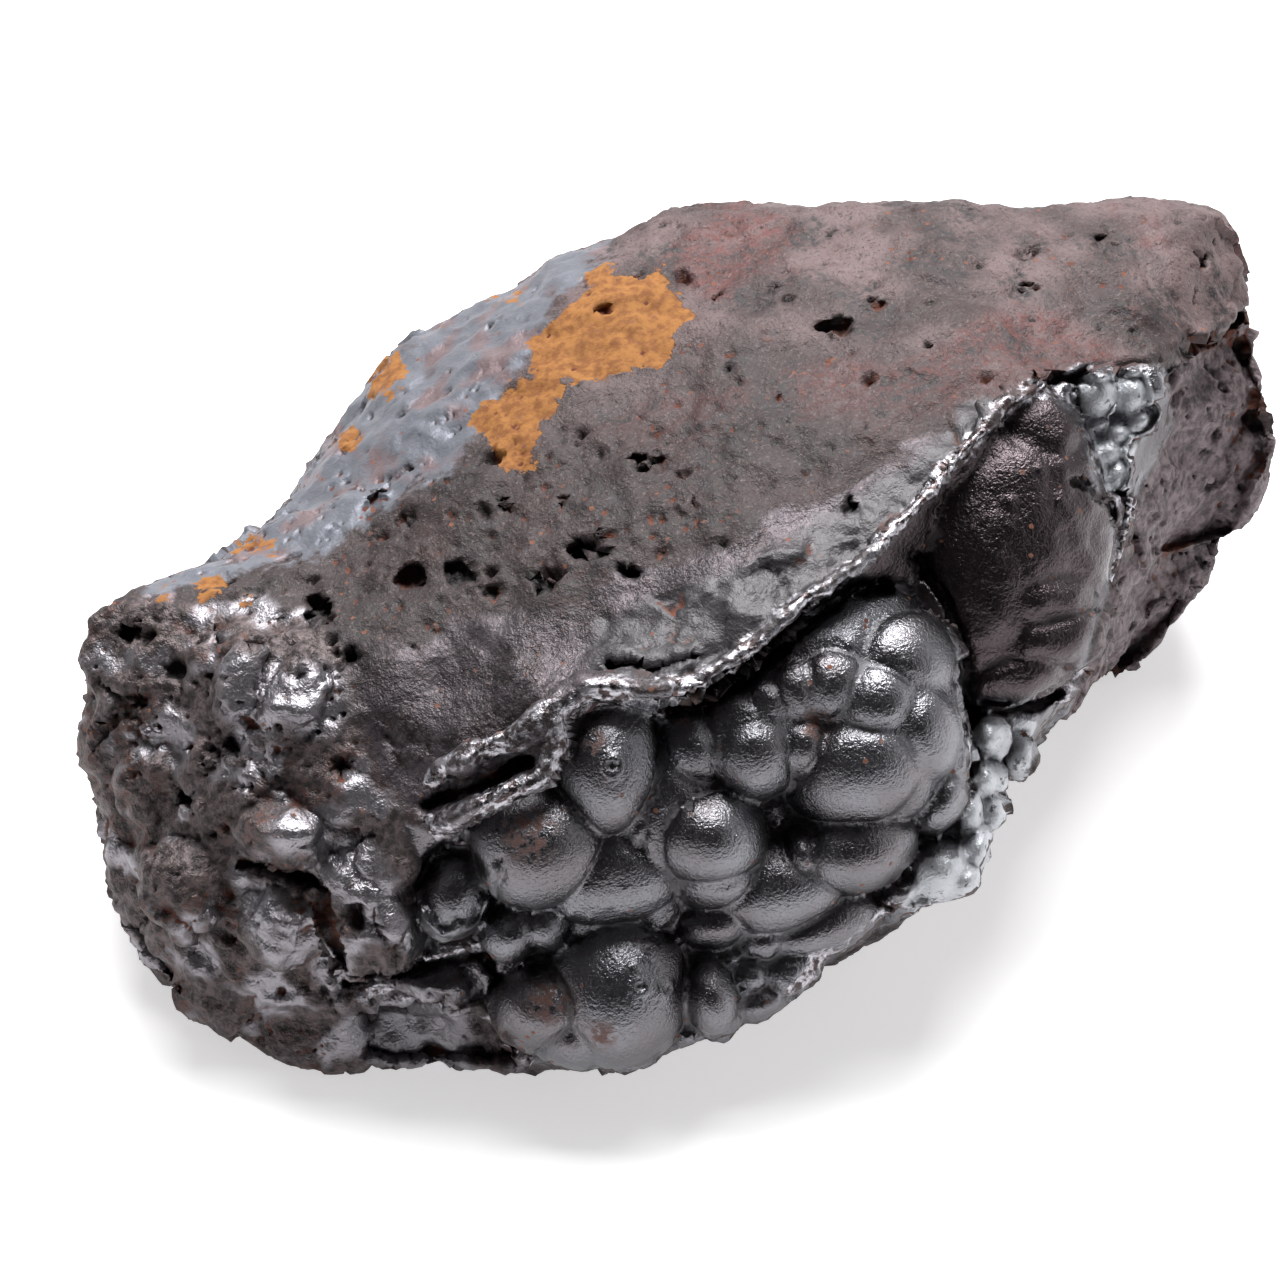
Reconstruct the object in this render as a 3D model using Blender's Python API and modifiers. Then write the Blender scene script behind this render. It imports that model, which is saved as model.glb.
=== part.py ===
"""Botryoidal hematite, a hand specimen: one piece of rock, rebuilt as one solid.

Metres, +Z up. The specimen rests on a flat foot at Z = 0. Its long axis runs along +X and
the botryoidal face looks towards -Y. The origin is at the bottom centre of its box.

Places on the visible side are sighted: a row gives the place in a 1280 x 1280 field seen
from above the front at 45 degrees, 12 points to the millimetre, and either the height over
the table or the nearness to the eye, in millimetres.
"""
import math

import bmesh
import bpy
import numpy as np
from mathutils import Matrix, Vector, noise

NAME = "hematite"
MM = 0.001

# The sight: where the eye stands, what it looks at, and its scale
SIGHT_TILT = math.radians(45.0)
SIGHT_DISTANCE = 296.3
SIGHT_HEIGHT = 21.2
POINTS_PER_MM = 12.0
FIELD_CENTRE = 640.0

# The specimen's long axis, turned from the sight's right-hand side
LONG_AXIS_TURN = math.radians(30.0)

# Grain of the model: voxels in millimetres, and triangles before the foot is cut
BODY_SUBDIVISIONS = 3
BODY_SMOOTHINGS = 6
UNION_VOXEL = 0.9
FINE_VOXEL = 0.8
TRIANGLES = 11600
# Triangles are saved on the rough rock first: the bulbs' share of the weight, and its effect
BULB_WEIGHT = 0.5
BULB_CARE = 0.03

# Waviness of the carved edges, in points of the field, and its wavelength in millimetres
EDGE_WOBBLE = 5.0
WOBBLE_LENGTH = 2.9
# Where the walls of grooves and pits end and their floors begin, as shares of the half width
GROOVE_FLOOR = 0.35
PIT_FLOOR = 0.55
# Carving fades out on faces that turn away from the eye
FACING_NONE = 0.05
FACING_FULL = 0.35

# Relief of the rough rock: heights and wavelengths in millimetres
SWELL = 0.6
SWELL_LENGTH = 9.0
BULB_SWELL = 0.06
BROKEN = 0.3
BROKEN_LENGTH = 3.3
# Chips: height and size in millimetres, how far their edges wander, how steeply they slant
CHIPS = ((1.5, 11.0), (0.5, 5.0))
CHIP_WANDER = 1.2
CHIP_SLANT = 1.6
CHIP_RISE = 0.5
# Places far apart in the noise, so that its uses don't follow one another
APART = (0.0, 40.0, 90.0)
CHIP_SHIFTS = (Vector((0.0, 0.0, 0.0)), Vector((31.4, 0.0, 0.0)), Vector((0.0, 47.1, 0.0)))
CELL_SPREAD = 7.3
# Slopes gentler than this share of upright count as the worn upper face
WORN_SLOPES = (0.55, 0.85)
# Width of the change from bulbs to rough rock, in millimetres
BULB_EDGE = (-0.8, 0.6)

# Edges sharper than this stay crisp
CREASE = math.radians(40.0)

# A point well inside the rock, from which every landmark can be seen
HEART = Vector((3.0, -15.0, 19.0))

# Outline against the background, seen point and height over the table
SKYLINE = [
    (165, 603, 29), (195, 560, 27), (240, 532, 27), (290, 497, 26), (345, 430, 28),
    (365, 375, 30), (400, 330, 31), (455, 304, 32), (510, 279, 33), (545, 246, 35),
    (600, 232, 37), (660, 212, 39), (740, 199, 40), (840, 189, 42), (930, 195, 42),
    (1040, 207, 41), (1110, 210, 41), (1170, 198, 41), (1222, 199, 40), (1240, 255, 37),
    (1255, 320, 33), (1249, 345, 31), (1270, 400, 28), (1280, 450, 23), (1268, 495, 19),
    (1230, 540, 15), (1200, 595, 9), (1165, 648, 3), (1138, 670, 0.5), (1080, 692, 0.5),
]
FRONT_EDGE = [
    (1060, 703, 21), (1030, 740, 19), (1000, 785, 17), (990, 850, 15), (950, 898, 14),
    (880, 912, 13), (815, 955, 12), (780, 1003, 10), (735, 1028, 9), (680, 1055, 6),
    (600, 1070, 4), (540, 1071, 3), (470, 1064, 2), (400, 1062, 1), (330, 1075, 0.5),
    (270, 1050, 2), (210, 1015, 3), (165, 980, 4), (135, 925, 7), (110, 880, 10),
    (104, 820, 13), (84, 740, 19), (73, 660, 25), (82, 625, 27), (105, 609, 28),
]
TOP_FACE = [
    (350, 560, 31), (450, 470, 35), (520, 380, 38), (570, 300, 39.5), (640, 240, 40),
    (700, 350, 40.5), (850, 350, 42), (1000, 300, 43), (1150, 300, 41.5), (600, 480, 38),
    (750, 500, 40), (900, 430, 42), (470, 600, 34), (600, 600, 36), (760, 590, 38.5),
    (250, 600, 29.5), (840, 260, 42.5), (300, 640, 30), (1060, 250, 42.5), (420, 400, 33.5),
]
RIM = [
    (1045, 385, 43), (1000, 412, 42.5), (950, 462, 41.5), (900, 520, 40), (860, 565, 39),
    (800, 605, 38), (740, 655, 36.5), (690, 690, 35.5), (640, 690, 35), (580, 680, 34),
    (550, 715, 33), (500, 750, 30), (430, 830, 25),
]
VUG_ROOF = [(1150, 375, 40), (1200, 340, 38), (1240, 310, 35)]
RIGHT_END = [
    (1180, 400, 33), (1220, 450, 25), (1180, 500, 22), (1150, 560, 15), (1130, 620, 8),
]
LEFT_FACE = [
    (150, 680, 26), (220, 660, 29), (300, 720, 28), (370, 700, 30), (160, 780, 20),
    (240, 780, 24), (330, 800, 24), (400, 790, 26), (160, 870, 13), (240, 870, 18),
    (320, 880, 18.5), (200, 940, 10), (270, 950, 12), (340, 980, 9), (300, 1020, 5),
    (400, 960, 11.5), (440, 960, 12),
]
# The hollow that the bulbs grew in, seen point and nearness to the eye
HOLLOW = [
    (700, 730, 18.0), (780, 665, 17.0), (850, 620, 15.5), (915, 575, 12.5), (960, 660, 9.5),
    (970, 740, 7.5), (850, 730, 13.0), (780, 840, 15.0), (900, 850, 11.5), (940, 790, 10.0),
    (700, 930, 14.5), (790, 920, 12.5), (640, 880, 16.0), (570, 900, 15.5), (560, 820, 17.5),
    (500, 830, 17.5), (620, 790, 18.0), (500, 920, 14.5), (450, 900, 14.5), (600, 985, 12.0),
    (520, 1000, 11.0), (400, 1010, 9.0), (700, 1000, 12.0),
]
PANEL = [
    (985, 470, 13.5), (1040, 440, 11.0), (1090, 450, 7.5), (1120, 500, 4.5), (960, 540, 11.5),
    (1040, 530, 10.0), (1105, 560, 4.2), (1000, 620, 8.5), (1060, 620, 6.5), (1085, 645, 4.0),
    (1000, 690, 5.5), (1040, 690, 5.0),
]

# Hidden side, right, back and height in the sight's frame
BACK = [
    (53, 11, 27), (47, 22, 20), (36, 23, 30), (30, 27, 17), (16, 24, 27), (12, 28, 14),
    (2, 21, 25), (-6, 24, 15), (-14, 15, 22), (-22, 13, 12), (-30, 1, 19), (-37, -5, 11),
    (-43, -19, 17), (-46, -24, 9), (54, 4, 12), (49, 14, 7), (33, 25, 7), (8, 24, 5),
    (-12, 18, 6), (-33, -2, 5),
]
UNDERSIDE = [
    (-30, -48), (-8, -48), (12, -38), (26, -22), (38, -8), (45, 5), (38, 20), (15, 25),
    (-10, 13), (-30, -5), (-42, -25), (-40, -38),
]
BELOW_TABLE = -3.0

# Bulbs: seen centre, nearness of the centre, half width, half height, bulge, turn in degrees
BULBS = [
    (868, 716, 12.5, 7.7, 9.3, 8.0, 0, 8),
    (890, 656, 13.6, 5.0, 5.0, 6.5, 0),
    (856, 758, 14.4, 6.2, 4.6, 6.6, 22),
    (908, 722, 13.0, 4.4, 6.0, 6.8, 10),
    (872, 694, 14.6, 2.9, 2.6, 5.8, 0),
    (829, 676, 14.9, 3.0, 2.7, 5.4, 0),
    (812, 668, 13.6, 6.0, 4.6, 5.6, 20),
    (745, 728, 15.3, 6.4, 5.2, 5.8, 20),
    (799, 688, 15.8, 2.7, 2.6, 5.1, 0),
    (768, 702, 16.8, 2.8, 2.6, 4.7, 0),
    (757, 742, 16.5, 3.6, 3.9, 5.6, 15),
    (692, 746, 16.4, 3.3, 3.9, 4.9, 10),
    (790, 752, 16.2, 2.4, 3.6, 5.0, 0),
    (946, 738, 9.5, 2.0, 5.2, 5.4, 8),
    (938, 796, 9.6, 2.3, 3.6, 5.2, -25),
    (706, 833, 15.2, 4.7, 4.1, 6.6, -12),
    (713, 862, 13.8, 4.3, 3.9, 6.6, -12),
    (848, 846, 11.0, 5.8, 4.0, 7.0, 16),
    (802, 852, 11.6, 2.6, 2.9, 5.6, 0),
    (537, 838, 16.2, 5.3, 4.8, 6.8, 20),
    (612, 768, 17.2, 4.0, 5.6, 5.8, -5),
    (600, 728, 17.6, 4.5, 3.4, 5.4, 0),
    (455, 893, 14.6, 2.6, 3.4, 4.8, -20),
    (616, 985, 10.8, 5.9, 6.7, 7.2, -18),
    (546, 1006, 12.4, 4.0, 3.4, 5.2, 8),
    (580, 1025, 10.8, 4.0, 3.6, 5.2, 0),
    (711, 992, 10.6, 2.6, 3.8, 5.4, 12),
    (720, 1012, 10.4, 2.2, 2.2, 3.6, 12),
    (516, 930, 13.6, 3.2, 2.5, 4.2, 35),
    (543, 922, 13.4, 2.8, 2.6, 4.2, 50),
    (600, 900, 11.6, 5.6, 4.6, 4.6, 0),
    (650, 880, 12.6, 3.4, 4.6, 3.8, 0),
    (716, 920, 11.4, 3.8, 2.4, 4.8, 10),
    (808, 924, 8.2, 6.6, 3.2, 6.0, 18),
    (760, 935, 10.0, 3.2, 2.6, 4.4, 0),
    (788, 968, 9.6, 3.0, 2.4, 3.8, 20),
    (751, 972, 10.2, 1.9, 1.9, 3.8, 0),
    (760, 1000, 9.6, 2.8, 1.6, 3.2, 25),
    (900, 890, 8.8, 2.0, 1.2, 3.6, 20),
    (934, 866, 8.4, 2.8, 2.6, 4.4, 30),
    (974, 848, 7.0, 1.2, 2.2, 3.8, -20),
    (990, 812, 5.4, 1.2, 1.8, 3.2, 0),
    (962, 880, 8.5, 1.8, 1.3, 3.0, 30),
    (985, 735, 6.6, 1.6, 1.8, 3.8, 0),
    (1016, 757, 4.6, 1.4, 1.7, 3.2, -30),
    (980, 778, 6.4, 1.5, 1.7, 3.6, 0),
    (966, 810, 7.2, 1.4, 2.2, 3.6, 0),
    (369, 903, 13.0, 4.3, 6.2, 5.4, 5),
    (388, 860, 14.0, 3.8, 4.0, 5.0, 0),
    (290, 836, 13.4, 4.6, 3.0, 4.8, -10),
    (480, 768, 16.6, 4.6, 2.6, 4.8, 32),
    (440, 984, 8.8, 3.8, 1.9, 4.4, 8),
    (284, 925, 11.2, 3.4, 3.6, 4.8, 20),
    (300, 712, 13.0, 3.4, 5.0, 4.6, -25),
    (245, 690, 11.0, 2.4, 4.6, 4.4, -15),
    (360, 780, 14.0, 4.0, 4.6, 4.6, 0),
    (200, 880, 9.4, 3.6, 4.6, 4.6, 0),
    (170, 770, 7.4, 3.6, 5.0, 4.4, 0),
    (1008, 548, 6.0, 9.4, 13.4, 6.6, -16, 26),
    (1040, 448, 7.6, 5.2, 5.6, 5.4, 0, 12),
    (1000, 520, 7.6, 6.0, 6.4, 5.6, -20, 15),
    (1062, 560, 4.4, 4.6, 6.0, 5.4, -10, 20),
    (1000, 618, 5.6, 4.6, 5.0, 5.0, -10, 15),
    (1008, 668, 4.2, 4.4, 3.2, 5.0, 12, 10),
    (1062, 640, 3.0, 3.4, 4.2, 4.6, 0, 20),
    (1096, 398, 4.4, 2.3, 2.0, 3.8, 0),
    (1130, 398, 4.0, 2.3, 2.0, 3.8, 0),
    (1143, 412, 3.6, 1.8, 1.3, 3.4, 35),
    (1106, 425, 3.8, 1.4, 1.1, 2.8, 0),
    (1125, 428, 3.6, 1.5, 1.2, 2.8, 0),
    (1110, 446, 4.0, 1.9, 1.9, 3.8, 0),
    (1108, 470, 3.6, 1.4, 2.4, 3.6, 0),
]

# Ledges and broken edges: seen points with nearness, and the half thickness of each lip
LEDGES = [
    [(1062, 396, 8.6, 0.9), (1030, 388, 10.6, 1.0), (998, 412, 12.6, 1.0), (955, 460, 15.0, 0.9),
     (905, 518, 17.4, 0.9), (862, 562, 19.4, 0.9), (800, 606, 21.2, 0.9), (745, 652, 22.4, 0.9),
     (692, 688, 23.2, 0.9), (640, 692, 23.6, 0.9), (585, 682, 23.2, 1.2), (556, 705, 22.8, 1.0)],
    [(556, 705, 22.8, 1.0), (555, 745, 21.8, 0.7), (545, 772, 21.2, 0.8), (505, 790, 20.8, 0.7),
     (470, 812, 20.4, 0.8), (432, 832, 19.6, 0.9)],
    [(1062, 396, 8.6, 0.9), (1090, 440, 7.4, 0.6), (1098, 480, 6.6, 0.6), (1128, 500, 5.0, 0.6)],
    [(1128, 500, 4.6, 0.5), (1118, 555, 4.2, 0.5), (1100, 610, 4.0, 0.5), (1086, 650, 3.8, 0.5),
     (1062, 700, 3.4, 0.6)],
    [(995, 790, 4.6, 0.5), (985, 855, 6.8, 0.5), (945, 895, 9.4, 0.5), (880, 910, 10.4, 0.5),
     (830, 945, 11.4, 0.5), (790, 990, 12.0, 0.5)],
    [(345, 1000, 8.8, 0.6), (380, 985, 10.0, 0.5), (430, 1003, 10.2, 0.6), (480, 1000, 10.8, 0.7),
     (505, 1030, 10.2, 0.6), (530, 1062, 9.6, 0.7)],
    [(340, 985, 9.4, 0.7), (380, 962, 11.4, 0.6), (430, 960, 12.2, 0.6), (470, 955, 13.0, 0.6)],
]

# Grooves and slits: seen path, half width and depth in millimetres
GROOVES = [
    ([(885, 585), (850, 590), (805, 622), (760, 660), (715, 693), (670, 708)], 1.0, 2.6),
    ([(915, 560), (945, 600), (963, 650), (972, 720), (974, 770)], 1.1, 3.0),
    ([(612, 666), (650, 668), (692, 656)], 0.55, 2.4),
    ([(245, 866), (280, 872), (315, 890), (324, 925), (338, 968)], 0.7, 1.8),
    ([(138, 925), (152, 952), (178, 985)], 1.0, 3.0),
    ([(342, 985), (400, 975), (443, 960), (482, 957), (497, 980)], 0.55, 1.8),
    ([(428, 804), (460, 792), (501, 777), (535, 760)], 0.8, 2.2),
    ([(1052, 381), (1088, 381)], 0.5, 3.0),
    ([(655, 700), (662, 740), (655, 800), (640, 850)], 0.6, 1.6),
    ([(470, 920), (495, 905), (500, 860)], 0.4, 1.2),
    ([(1075, 480), (1108, 500), (1122, 520)], 0.5, 1.6),
    ([(985, 705), (1030, 708), (1062, 696)], 0.5, 1.8),
]
# Faces broken back: seen outline, slope and depth in millimetres
BREAKS = [
    ([(355, 1008), (480, 1006), (510, 1036), (520, 1066), (440, 1062), (360, 1058)], 0.5, 2.2),
    ([(415, 858), (440, 842), (478, 850), (492, 885), (478, 925), (440, 935), (412, 905)], 0.6, 2.4),
    ([(1052, 384), (1150, 382), (1158, 430), (1128, 492), (1096, 480), (1076, 440)], 0.6, 2.6),
    ([(1150, 380), (1238, 325), (1255, 350), (1275, 450), (1200, 600), (1140, 660), (1092, 680),
      (1118, 560), (1136, 480)], 0.6, 2.0),
]
# Pits: seen centre, half sizes in points, turn in degrees, depth in millimetres
PITS = [
    (590, 548, 24, 13, -10, 2.6), (630, 572, 13, 8, 0, 1.8), (410, 580, 14, 11, 0, 2.0),
    (460, 570, 11, 8, 0, 1.6), (320, 615, 11, 18, 5, 2.2), (131, 633, 18, 13, -15, 2.2),
    (835, 327, 20, 6, 12, 1.6), (1030, 285, 8, 5, 0, 1.0), (640, 465, 9, 7, 0, 1.2),
    (660, 465, 7, 6, 0, 1.2), (375, 500, 12, 6, -25, 1.4), (600, 312, 10, 7, 0, 0.8),
    (850, 505, 8, 6, 0, 1.0), (700, 505, 7, 5, 0, 1.0), (255, 650, 13, 7, 0, 1.6),
    (350, 660, 10, 9, 20, 1.6), (230, 750, 15, 11, -30, 1.8), (345, 765, 15, 10, 20, 1.8),
    (215, 635, 7, 5, 0, 1.2), (140, 700, 8, 14, 0, 1.4), (190, 800, 10, 14, 10, 1.5),
    (310, 600, 8, 6, 0, 1.2), (545, 590, 8, 6, 0, 1.2), (490, 590, 7, 6, 0, 1.0),
    (510, 510, 7, 5, 0, 1.0), (560, 500, 6, 5, 0, 0.9), (720, 300, 7, 4, 0, 0.8),
    (880, 300, 9, 6, 0, 0.9), (930, 350, 7, 5, 0, 0.8), (1100, 240, 8, 5, 0, 0.9),
    (1200, 260, 8, 6, 0, 1.0), (780, 400, 7, 5, 0, 0.8), (612, 766, 7, 7, 0, 0.8),
]
# Outline of the botryoidal face, seen
BOTRYOIDAL = [
    (1045, 385), (1000, 412), (950, 462), (900, 520), (860, 565), (800, 605), (740, 655),
    (690, 690), (640, 692), (585, 682), (556, 705), (550, 770), (470, 812), (430, 832),
    (400, 800), (340, 835), (318, 885), (340, 975), (400, 1000), (480, 1000), (530, 1062),
    (600, 1080), (680, 1065), (745, 1038), (790, 1013), (825, 965), (890, 922), (960, 908),
    (1000, 860), (1010, 795), (1040, 750), (1070, 713), (1090, 650), (1117, 560), (1132, 500),
    (1158, 430), (1152, 378), (1090, 375),
]


def sight_frame():
    """Eye, target plane centre and the sight's right, up and towards directions."""
    right = Vector((1.0, 0.0, 0.0))
    up = Vector((0.0, math.sin(SIGHT_TILT), math.cos(SIGHT_TILT)))
    towards = Vector((0.0, -math.cos(SIGHT_TILT), math.sin(SIGHT_TILT)))
    centre = Vector((0.0, -SIGHT_HEIGHT, SIGHT_HEIGHT))
    return centre + towards * SIGHT_DISTANCE, centre, right, up, towards


EYE, CENTRE, RIGHT, UP, TOWARDS = sight_frame()


def sight_line(px, py):
    """Step from the eye to a seen point on the target plane."""
    across = (px - FIELD_CENTRE) / POINTS_PER_MM
    above = (FIELD_CENTRE - py) / POINTS_PER_MM
    return CENTRE + RIGHT * across + UP * above - EYE


def at_height(px, py, height):
    """Seen point at a height over the table."""
    line = sight_line(px, py)
    return EYE + line * ((height - EYE.z) / line.z)


def at_nearness(px, py, near):
    """Seen point at a nearness to the eye, measured from the target plane."""
    return EYE + sight_line(px, py) * ((SIGHT_DISTANCE - near) / SIGHT_DISTANCE)


def landmarks():
    """Every hand-placed point on the rock body."""
    points = [at_height(*row) for row in SKYLINE + FRONT_EDGE + TOP_FACE + VUG_ROOF]
    points += [at_height(*row) for row in RIGHT_END + LEFT_FACE + RIM]
    points += [at_nearness(*row) for row in HOLLOW + PANEL]
    points += [Vector(row) for row in BACK]
    points += [Vector((x, y, BELOW_TABLE)) for x, y in UNDERSIDE]
    points.append(Vector((HEART.x, HEART.y, BELOW_TABLE)))
    return points


def rock_body():
    """Rock body: the landmarks are joined as seen from the heart, then moved out to their places."""
    body = bmesh.new()
    corners = {}
    for place in landmarks():
        corners[body.verts.new((place - HEART).normalized())] = place
    bmesh.ops.convex_hull(body, input=body.verts[:])
    for corner, place in corners.items():
        corner.co = place
    bmesh.ops.recalc_face_normals(body, faces=body.faces[:])
    for _ in range(BODY_SUBDIVISIONS):
        bmesh.ops.subdivide_edges(body, edges=body.edges[:], cuts=1, use_grid_fill=True)
    for _ in range(BODY_SMOOTHINGS):
        bmesh.ops.smooth_vert(body, verts=body.verts[:], factor=0.5,
                              use_axis_x=True, use_axis_y=True, use_axis_z=True)
    return body


def bulb(mesh, px, py, near, half_width, half_height, bulge, turn, lean=0.0):
    """One kidney bulb: an ellipsoid set to the sight, turned in the field and leaning right."""
    centre = at_nearness(px, py, near)
    axes = Matrix((RIGHT, UP, TOWARDS)).transposed()
    spin = Matrix.Rotation(math.radians(lean), 3, "Y") @ Matrix.Rotation(math.radians(turn), 3, "Z")
    size = Matrix.Diagonal((half_width, half_height, bulge))
    place = (axes @ spin @ size).to_4x4()
    place.translation = centre
    bmesh.ops.create_icosphere(mesh, subdivisions=4, radius=1.0, matrix=place)


def ledge(mesh, rows):
    """A lip along a broken edge: a tube through seen points, thicker and thinner along its way."""
    curve = bpy.data.curves.new("ledge", "CURVE")
    curve.dimensions = "3D"
    curve.bevel_depth = 1.0
    curve.bevel_resolution = 2
    curve.use_fill_caps = True
    spline = curve.splines.new("POLY")
    spline.points.add(len(rows) - 1)
    for point, (px, py, near, thickness) in zip(spline.points, rows):
        point.co = (*at_nearness(px, py, near), 1.0)
        point.radius = thickness
    holder = bpy.data.objects.new("ledge", curve)
    bpy.context.scene.collection.objects.link(holder)
    bpy.context.view_layer.update()
    tube = bpy.data.meshes.new_from_object(holder.evaluated_get(bpy.context.evaluated_depsgraph_get()))
    mesh.from_mesh(tube)
    bpy.data.objects.remove(holder)
    bpy.data.curves.remove(curve)
    bpy.data.meshes.remove(tube)


def whole_shape():
    """Rock body, bulbs and ledges as overlapping closed shells."""
    mesh = rock_body()
    for row in BULBS:
        bulb(mesh, *row)
    for rows in LEDGES:
        ledge(mesh, rows)
    bmesh.ops.remove_doubles(mesh, verts=mesh.verts[:], dist=0.0001)
    return mesh


def with_modifier(thing, kind, **settings):
    """The thing's mesh replaced by what one modifier makes of it."""
    modifier = thing.modifiers.new(kind, kind)
    for key, value in settings.items():
        setattr(modifier, key, value)
    bpy.context.view_layer.update()
    made = bpy.data.meshes.new_from_object(thing.evaluated_get(bpy.context.evaluated_depsgraph_get()))
    old = thing.data
    thing.modifiers.remove(modifier)
    thing.data = made
    bpy.data.meshes.remove(old)


def coordinates(thing):
    """Vertex places of a thing as rows of X, Y, Z."""
    flat = np.empty(len(thing.data.vertices) * 3)
    thing.data.vertices.foreach_get("co", flat)
    return flat.reshape(-1, 3)


def normals(thing):
    """Vertex normals of a thing as rows of X, Y, Z."""
    flat = np.empty(len(thing.data.vertices) * 3)
    thing.data.vertex_normals.foreach_get("vector", flat)
    return flat.reshape(-1, 3)


def place_vertices(thing, rows):
    """Vertices of a thing moved to new places."""
    thing.data.vertices.foreach_set("co", rows.ravel())
    thing.data.update()


def step(low, high, value):
    """Smooth rise from 0 at low to 1 at high."""
    rise = np.clip((value - low) / (high - low), 0.0, 1.0)
    return rise * rise * (3.0 - 2.0 * rise)


def seen(rows):
    """Seen place of every vertex."""
    away = rows - np.array(EYE)
    depth = -away @ np.array(TOWARDS)
    scale = POINTS_PER_MM * SIGHT_DISTANCE / depth
    px = FIELD_CENTRE + (away @ np.array(RIGHT)) * scale
    py = FIELD_CENTRE - (away @ np.array(UP)) * scale
    return px, py


def facing(rows, outward):
    """How squarely each vertex faces the eye, from -1 to 1."""
    to_eye = np.array(EYE) - rows
    to_eye /= np.linalg.norm(to_eye, axis=1)[:, None]
    return np.sum(outward * to_eye, axis=1)


def path_distance(px, py, path):
    """Distance in millimetres from each seen vertex to a seen path."""
    best = np.full(len(px), 1e9)
    for (ax, ay), (bx, by) in zip(path[:-1], path[1:]):
        length = (bx - ax) ** 2 + (by - ay) ** 2
        along = np.clip(((px - ax) * (bx - ax) + (py - ay) * (by - ay)) / length, 0.0, 1.0)
        gap = np.hypot(px - ax - along * (bx - ax), py - ay - along * (by - ay))
        best = np.minimum(best, gap)
    return best / POINTS_PER_MM


def depth_inside(px, py, outline):
    """Distance in millimetres inside a seen outline, negative outside it."""
    ring = outline + outline[:1]
    gap = path_distance(px, py, ring)
    within = np.zeros(len(px), dtype=bool)
    for (ax, ay), (bx, by) in zip(ring[:-1], ring[1:]):
        if ay == by:
            continue
        crosses = (ay > py) != (by > py)
        within ^= crosses & (px < ax + (py - ay) * (bx - ax) / (by - ay))
    return np.where(within, gap, -gap)


def wobbled(px, py, rows):
    """Seen places shifted a little to and fro, so that carved edges aren't ruled lines."""
    across = noise_rows(rows, WOBBLE_LENGTH, 3)
    down = noise_rows(rows + APART[1], WOBBLE_LENGTH, 3)
    return px + EDGE_WOBBLE * across, py + EDGE_WOBBLE * down


def pit_depth(px, py, pit):
    """Depth of one steep-walled pit at each seen vertex."""
    centre_x, centre_y, half_width, half_height, turn, deep = pit
    turned = math.radians(turn)
    right = px - centre_x
    down = py - centre_y
    across = (right * math.cos(turned) + down * math.sin(turned)) / half_width
    along = (down * math.cos(turned) - right * math.sin(turned)) / half_height
    return deep * (1.0 - step(PIT_FLOOR, 1.0, np.hypot(across, along)))


def carve_seen(thing):
    """Grooves, slits, broken faces and pits on the visible side, pushed straight away from the eye."""
    rows = coordinates(thing)
    towards_eye = step(FACING_NONE, FACING_FULL, facing(rows, normals(thing)))
    px, py = wobbled(*seen(rows), rows)
    depth = np.zeros(len(rows))
    for path, width, deep in GROOVES:
        groove = deep * (1.0 - step(GROOVE_FLOOR * width, width, path_distance(px, py, path)))
        depth = np.maximum(depth, groove)
    for outline, slope, deep in BREAKS:
        depth = np.maximum(depth, deep * step(0.0, slope, depth_inside(px, py, outline)))
    for pit in PITS:
        depth = np.maximum(depth, pit_depth(px, py, pit))
    place_vertices(thing, rows - np.array(TOWARDS) * (depth * towards_eye)[:, None])


def noise_rows(rows, length, octaves):
    """Layered noise of a given wavelength in millimetres at each vertex, about -1 to 1."""
    scaled = rows / length
    return np.array([noise.fractal(Vector(row), 0.9, 2.1, octaves) for row in scaled])


def chip_rows(rows, size):
    """Flat chips of about a given size: each cell of the rock is broken at its own slant."""
    lift = np.empty(len(rows))
    for index, row in enumerate(rows):
        spot = Vector(row) / size
        centre = noise.voronoi(spot)[1][0]
        slant = Vector(noise.noise(centre * CELL_SPREAD + shift) for shift in CHIP_SHIFTS)
        lift[index] = (spot - centre).dot(slant) * CHIP_SLANT + slant.x * CHIP_RISE
    return lift


def roughen(thing):
    """Chipped and swollen rock around the bulbs, and only a faint swell on them."""
    rows = coordinates(thing)
    outward = normals(thing)
    visible = step(-FACING_NONE, FACING_FULL / 2, facing(rows, outward))
    smooth = step(*BULB_EDGE, depth_inside(*seen(rows), BOTRYOIDAL)) * visible
    rough = 1.0 - smooth
    upper = step(*WORN_SLOPES, outward[:, 2]) * rough
    swell = noise_rows(rows, SWELL_LENGTH, 3)
    broken = noise_rows(rows + APART[2], BROKEN_LENGTH, 2)
    wander = np.stack([noise_rows(rows + shift, BROKEN_LENGTH, 2) for shift in APART], axis=1)
    chips = sum(height * chip_rows(rows + CHIP_WANDER * wander, size) for height, size in CHIPS)
    lift = (rough - upper) * (BROKEN * broken + chips) + rough * SWELL * swell
    place_vertices(thing, rows + outward * (lift + smooth * BULB_SWELL * swell)[:, None])
    return rough


def keep_largest(thing):
    """Loose crumbs left by the joining are cleared away."""
    mesh = bmesh.new()
    mesh.from_mesh(thing.data)
    mesh.verts.ensure_lookup_table()
    left = set(mesh.verts)
    pieces = []
    while left:
        piece = [left.pop()]
        for vert in piece:
            fresh = [edge.other_vert(vert) for edge in vert.link_edges]
            fresh = [other for other in fresh if other in left]
            left.difference_update(fresh)
            piece.extend(fresh)
        pieces.append(piece)
    pieces.sort(key=len)
    for piece in pieces[:-1]:
        bmesh.ops.delete(mesh, geom=piece, context="VERTS")
    mesh.to_mesh(thing.data)
    mesh.free()


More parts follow.
